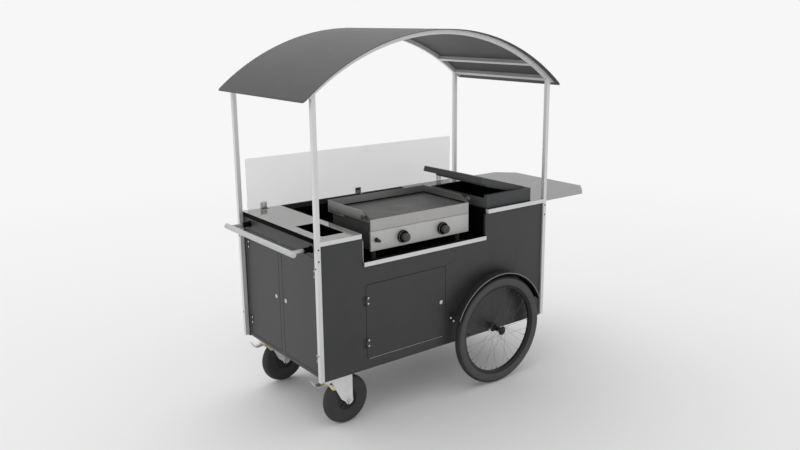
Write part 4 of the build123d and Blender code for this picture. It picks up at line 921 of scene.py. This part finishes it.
def makeGriddleFittings():
    g = griddle
    for name, x in g["knobs"].items():
        makeKnob(name, x)
    at = (g["igniter"][0], g["front"], g["igniter"][1])
    lathePiece("griddle_igniter_button", "griddle_igniter", blackPlastic, buttonProfile, at, (0, -1, 0), 32,
               ["griddle_igniter"])
    lathePiece("griddle_igniter_collar", "cart", blackPlastic, collarProfile, at, (0, -1, 0), 32)
    feet, edgeShade = newMeshes(2)
    for x, y in g["feet"]:
        addLathe(feet, footProfile, (x, y, g["deck"]), (0, 0, 1), 32)
    finishPiece(feet, "griddle_feet_turned", "cart", footRubber, ["griddle_feet"])
    for side, t in thumbs.items():
        profile = [(r, h * t["reach"]) for r, h in thumbProfile]
        lathePiece("griddle_thumb_knob_" + side, "cart", t["finish"], profile, t["at"], t["out"], 28)
    # Painted shade: a dark bar along the splash wall's sloping edge
    addRod(edgeShade, *g["edgeShade"], 12)
    finishPiece(edgeShade, "griddle_edge_shade", "cart", blackScrew)


makeGriddleFittings()
print("griddle ready")

# Black sheets that paint the shade under the worktop's left end and at the back of the bay, caps in the rails' ends,
# a dark strip that paints the shade where the griddle's walls meet the plate, a light strip that paints the
# highlight on the door opening's lower edge, and a light strip on the bay's left edge
railCap = {"xs": (-504.9, 308.1), "thick": 1.8, "y": 389, "half": 8.6, "low": 951.4, "high": 968.6}
railCaps = [((x, s * railCap["y"] - railCap["half"], railCap["low"]),
             (x + railCap["thick"], s * railCap["y"] + railCap["half"], railCap["high"]))
            for x in railCap["xs"] for s in sides.values()]
trimEdge = 0.3
trims = {
    # Painted shade: black sheets in the shadow gap under the worktop's left end
    "worktop_end_shade": (bayBlackAndShade, [((-722, -374, 949.4), (-712, 374, 970.6)),
                                  ((-729, -374, 949.4), (-728.1, 374, 973))]),
    # Painted shade: a black sheet over the bay's back wall
    "bay_back_shade": (bayBlackAndShade, [((-489, 373.6, 803), (294, 374.6, 947))]),
    "rail_caps": (aluminium["y"], railCaps),
    # Painted highlight: a light strip along the door opening's lower edge
    "door_edge_highlight": (aluminium["x"], [((-464, -389.6, 330.1), (4.5, -376, 331.2))]),
    "griddle_ledge": (splashSteel, [((-407.5, -100, 984), (-404.6, 52, 990))]),
    # Painted shade: a dark strip along the foot of the griddle's walls, where they meet the plate
    "griddle_wall_foot_shade": (shadeBlackPlastic, [((-402.8, 52, 1003.7), (224.8, 52.8, 1009)),
                                       ((224, -300, 1003.7), (224.8, 51.8, 1009))]),
    "bay_edge_strips": (aluminium["z"], [((-492, -390.4, 829.4), (-490.1, -388, 934))]),
}
for name, (mat, boxes) in trims.items():
    bm = bmesh.new()
    for corners in boxes:
        addBox(bm, *corners, trimEdge)
    finishPiece(bm, name, "cart", mat)

# A black sheet inside the insulated box, open at the top, that paints the shade under the lid
insideShade = {"outline": (329.2, 601.8, -346.8, 89.8, 7.8), "low": 829.2, "high": 1018, "thick": 0.4}


def makeInsideShade():
    bm = bmesh.new()
    base = bm.faces.new([bm.verts.new((u, v, insideShade["low"])) for u, v in roundedOutline(*insideShade["outline"])])
    grown = bmesh.ops.extrude_edge_only(bm, edges=base.edges[:])
    bmesh.ops.translate(bm, vec=(0, 0, insideShade["high"] - insideShade["low"]), verts=grownVerts(grown))
    bmesh.ops.recalc_face_normals(bm, faces=bm.faces)
    bmesh.ops.solidify(bm, geom=bm.faces[:], thickness=insideShade["thick"])
    finishPiece(bm, "cooler_inside_shade", "cart", insideShadeBlack)


makeInsideShade()
print("trims and liner ready")

# Screws of the corner posts and the splash guard
postScrews = {"x": 739, "y": 400, "heights": (935, 880), "endX": 750, "endY": 389, "endHeights": (845, 418),
              "size": (4.2, 2)}
guardScrews = {"brackets": (-604, 0, 604), "apart": 10, "legY": 381, "legZ": 995, "footY": 368, "footZ": 975,
               "size": (3.6, 1.8)}


def makeScrews():
    p, g = postScrews, guardScrews
    posts, guard = newMeshes(2)
    for out in (-1, 1):
        for s in sides.values():
            for z in p["heights"]:
                addScrew(posts, (out * p["x"], s * p["y"], z), (0, s, 0), *p["size"])
            for z in p["endHeights"]:
                addScrew(posts, (out * p["endX"], s * p["endY"], z), (out, 0, 0), *p["size"])
    for x in g["brackets"]:
        for dx in (-g["apart"], g["apart"]):
            addScrew(guard, (x + dx, g["legY"], g["legZ"]), (0, -1, 0), *g["size"])
            addScrew(guard, (x + dx, g["footY"], g["footZ"]), (0, 0, 1), *g["size"])
    finishPiece(posts, "post_screws", "cart", blackScrew)
    finishPiece(guard, "guard_screws", "cart", blackScrew)


makeScrews()

# Hidden steelwork keeps its CAD shape
keptNodes = {"caster_beam": darkPaint, "wheel_axle": darkPaint, "griddle_burners": cookSteel}
for nodeName, mat in keptNodes.items():
    mesh = cad[nodeName].data
    mesh.materials.clear()
    mesh.materials.append(mat)
print("screws and hidden steelwork ready")

# Camera, with its focal length and middle in pixels of the photograph
view = {"place": (-2549.6, -3467.6, 1944.5), "azimuth": -39.065, "down": 13.265, "focal": 808.7,
        "middle": (435.0, 212.0), "picture": (800, 450), "sensor": 36, "far": 60}


def setCamera():
    wide, high = view["picture"]
    data = bpy.data.cameras.new("camera")
    data.sensor_fit = "HORIZONTAL"
    data.sensor_width = view["sensor"]
    data.lens = view["sensor"] * view["focal"] / wide
    data.shift_x = (wide / 2 - view["middle"][0]) / wide
    data.shift_y = (view["middle"][1] - high / 2) / wide
    data.clip_end = view["far"]
    camera = newObject("camera", data)
    camera.location = toMetres @ Vector(view["place"])
    camera.rotation_euler = (radians(90 - view["down"]), 0, radians(view["azimuth"]))
    scene.camera = camera


# The world lights softly, more from behind and from the handle end, and shows as a white backdrop
sky = {"level": 0.87, "tilt": (-0.15, 0.27, 0.04), "shown": (0.93, 0.97)}
floor = {"half": 30, "colour": 0.88, "rough": 0.9, "specular": 0.1, "fade": (1.0, 6.5), "far": 0.93}
lamp = {"place": (1.0, 2.4, 5.2), "target": (0, 0, 0.9), "size": 4.6, "power": 40}


# One strength for light, another for what is seen directly, mirrored or through the clear sheet
def rayMix(tree, light, shown):
    ray = addNode(tree, "LightPath", {})
    seen = mathNode(tree, "MAXIMUM", ray["Is Camera Ray"], ray["Is Glossy Ray"])
    seen = mathNode(tree, "MAXIMUM", seen, ray["Is Transmission Ray"])
    return mixNode(tree, "FLOAT", seen, light, shown)


def setWorld():
    world = bpy.data.worlds.new("studio")
    scene.world = world
    world.use_nodes = True
    tree = world.node_tree
    way = addNode(tree, "SeparateXYZ", {"Vector": addNode(tree, "TexCoord", {})["Generated"]})
    light = sky["level"]
    for axis, amount in zip("XYZ", sky["tilt"]):
        light = mathNode(tree, "ADD", light, mathNode(tree, "MULTIPLY", way[axis], amount))
    shown = spread(tree, way["Z"], *sky["shown"])
    feed(tree, tree.nodes["Background"], {"Color": grey(1), "Strength": rayMix(tree, light, shown)})


# Near the cart the floor is a plain pale surface, and further out it fades into the backdrop
def setStage():
    mat = bpy.data.materials.new("paleFloor")
    mat.use_nodes = True
    tree = mat.node_tree
    surface = tree.nodes["Principled BSDF"]
    feed(tree, surface, {"Base Color": grey(floor["colour"]), "Roughness": floor["rough"],
                         "Specular IOR Level": floor["specular"]})
    place = addNode(tree, "TexCoord", {})["Object"]
    away = addNode(tree, "VectorMath", {0: place}, operation="LENGTH")["Value"]
    near, far = floor["fade"]
    fade = addNode(tree, "MapRange", {"Value": away, "From Min": near, "From Max": far},
                   interpolation_type="SMOOTHSTEP")["Result"]
    backdrop = addNode(tree, "Emission", {"Strength": rayMix(tree, sky["level"], floor["far"])})["Emission"]
    blend = addNode(tree, "MixShader", {0: fade, 1: surface.outputs["BSDF"], 2: backdrop})["Shader"]
    feed(tree, tree.nodes["Material Output"], {"Surface": blend})
    bm = bmesh.new()
    bmesh.ops.create_grid(bm, x_segments=1, y_segments=1, size=floor["half"])
    meshObject(bm, "floor", mat)


def setLamp():
    data = bpy.data.lights.new("key", "AREA")
    data.shape = "RECTANGLE"
    data.size = data.size_y = lamp["size"]
    data.energy = lamp["power"]
    made = newObject("key", data)
    made.location = lamp["place"]
    made.rotation_euler = (Vector(lamp["target"]) - made.location).to_track_quat("-Z", "Y").to_euler()


setCamera()
setWorld()
setStage()
setLamp()
print("camera, light and stage ready")
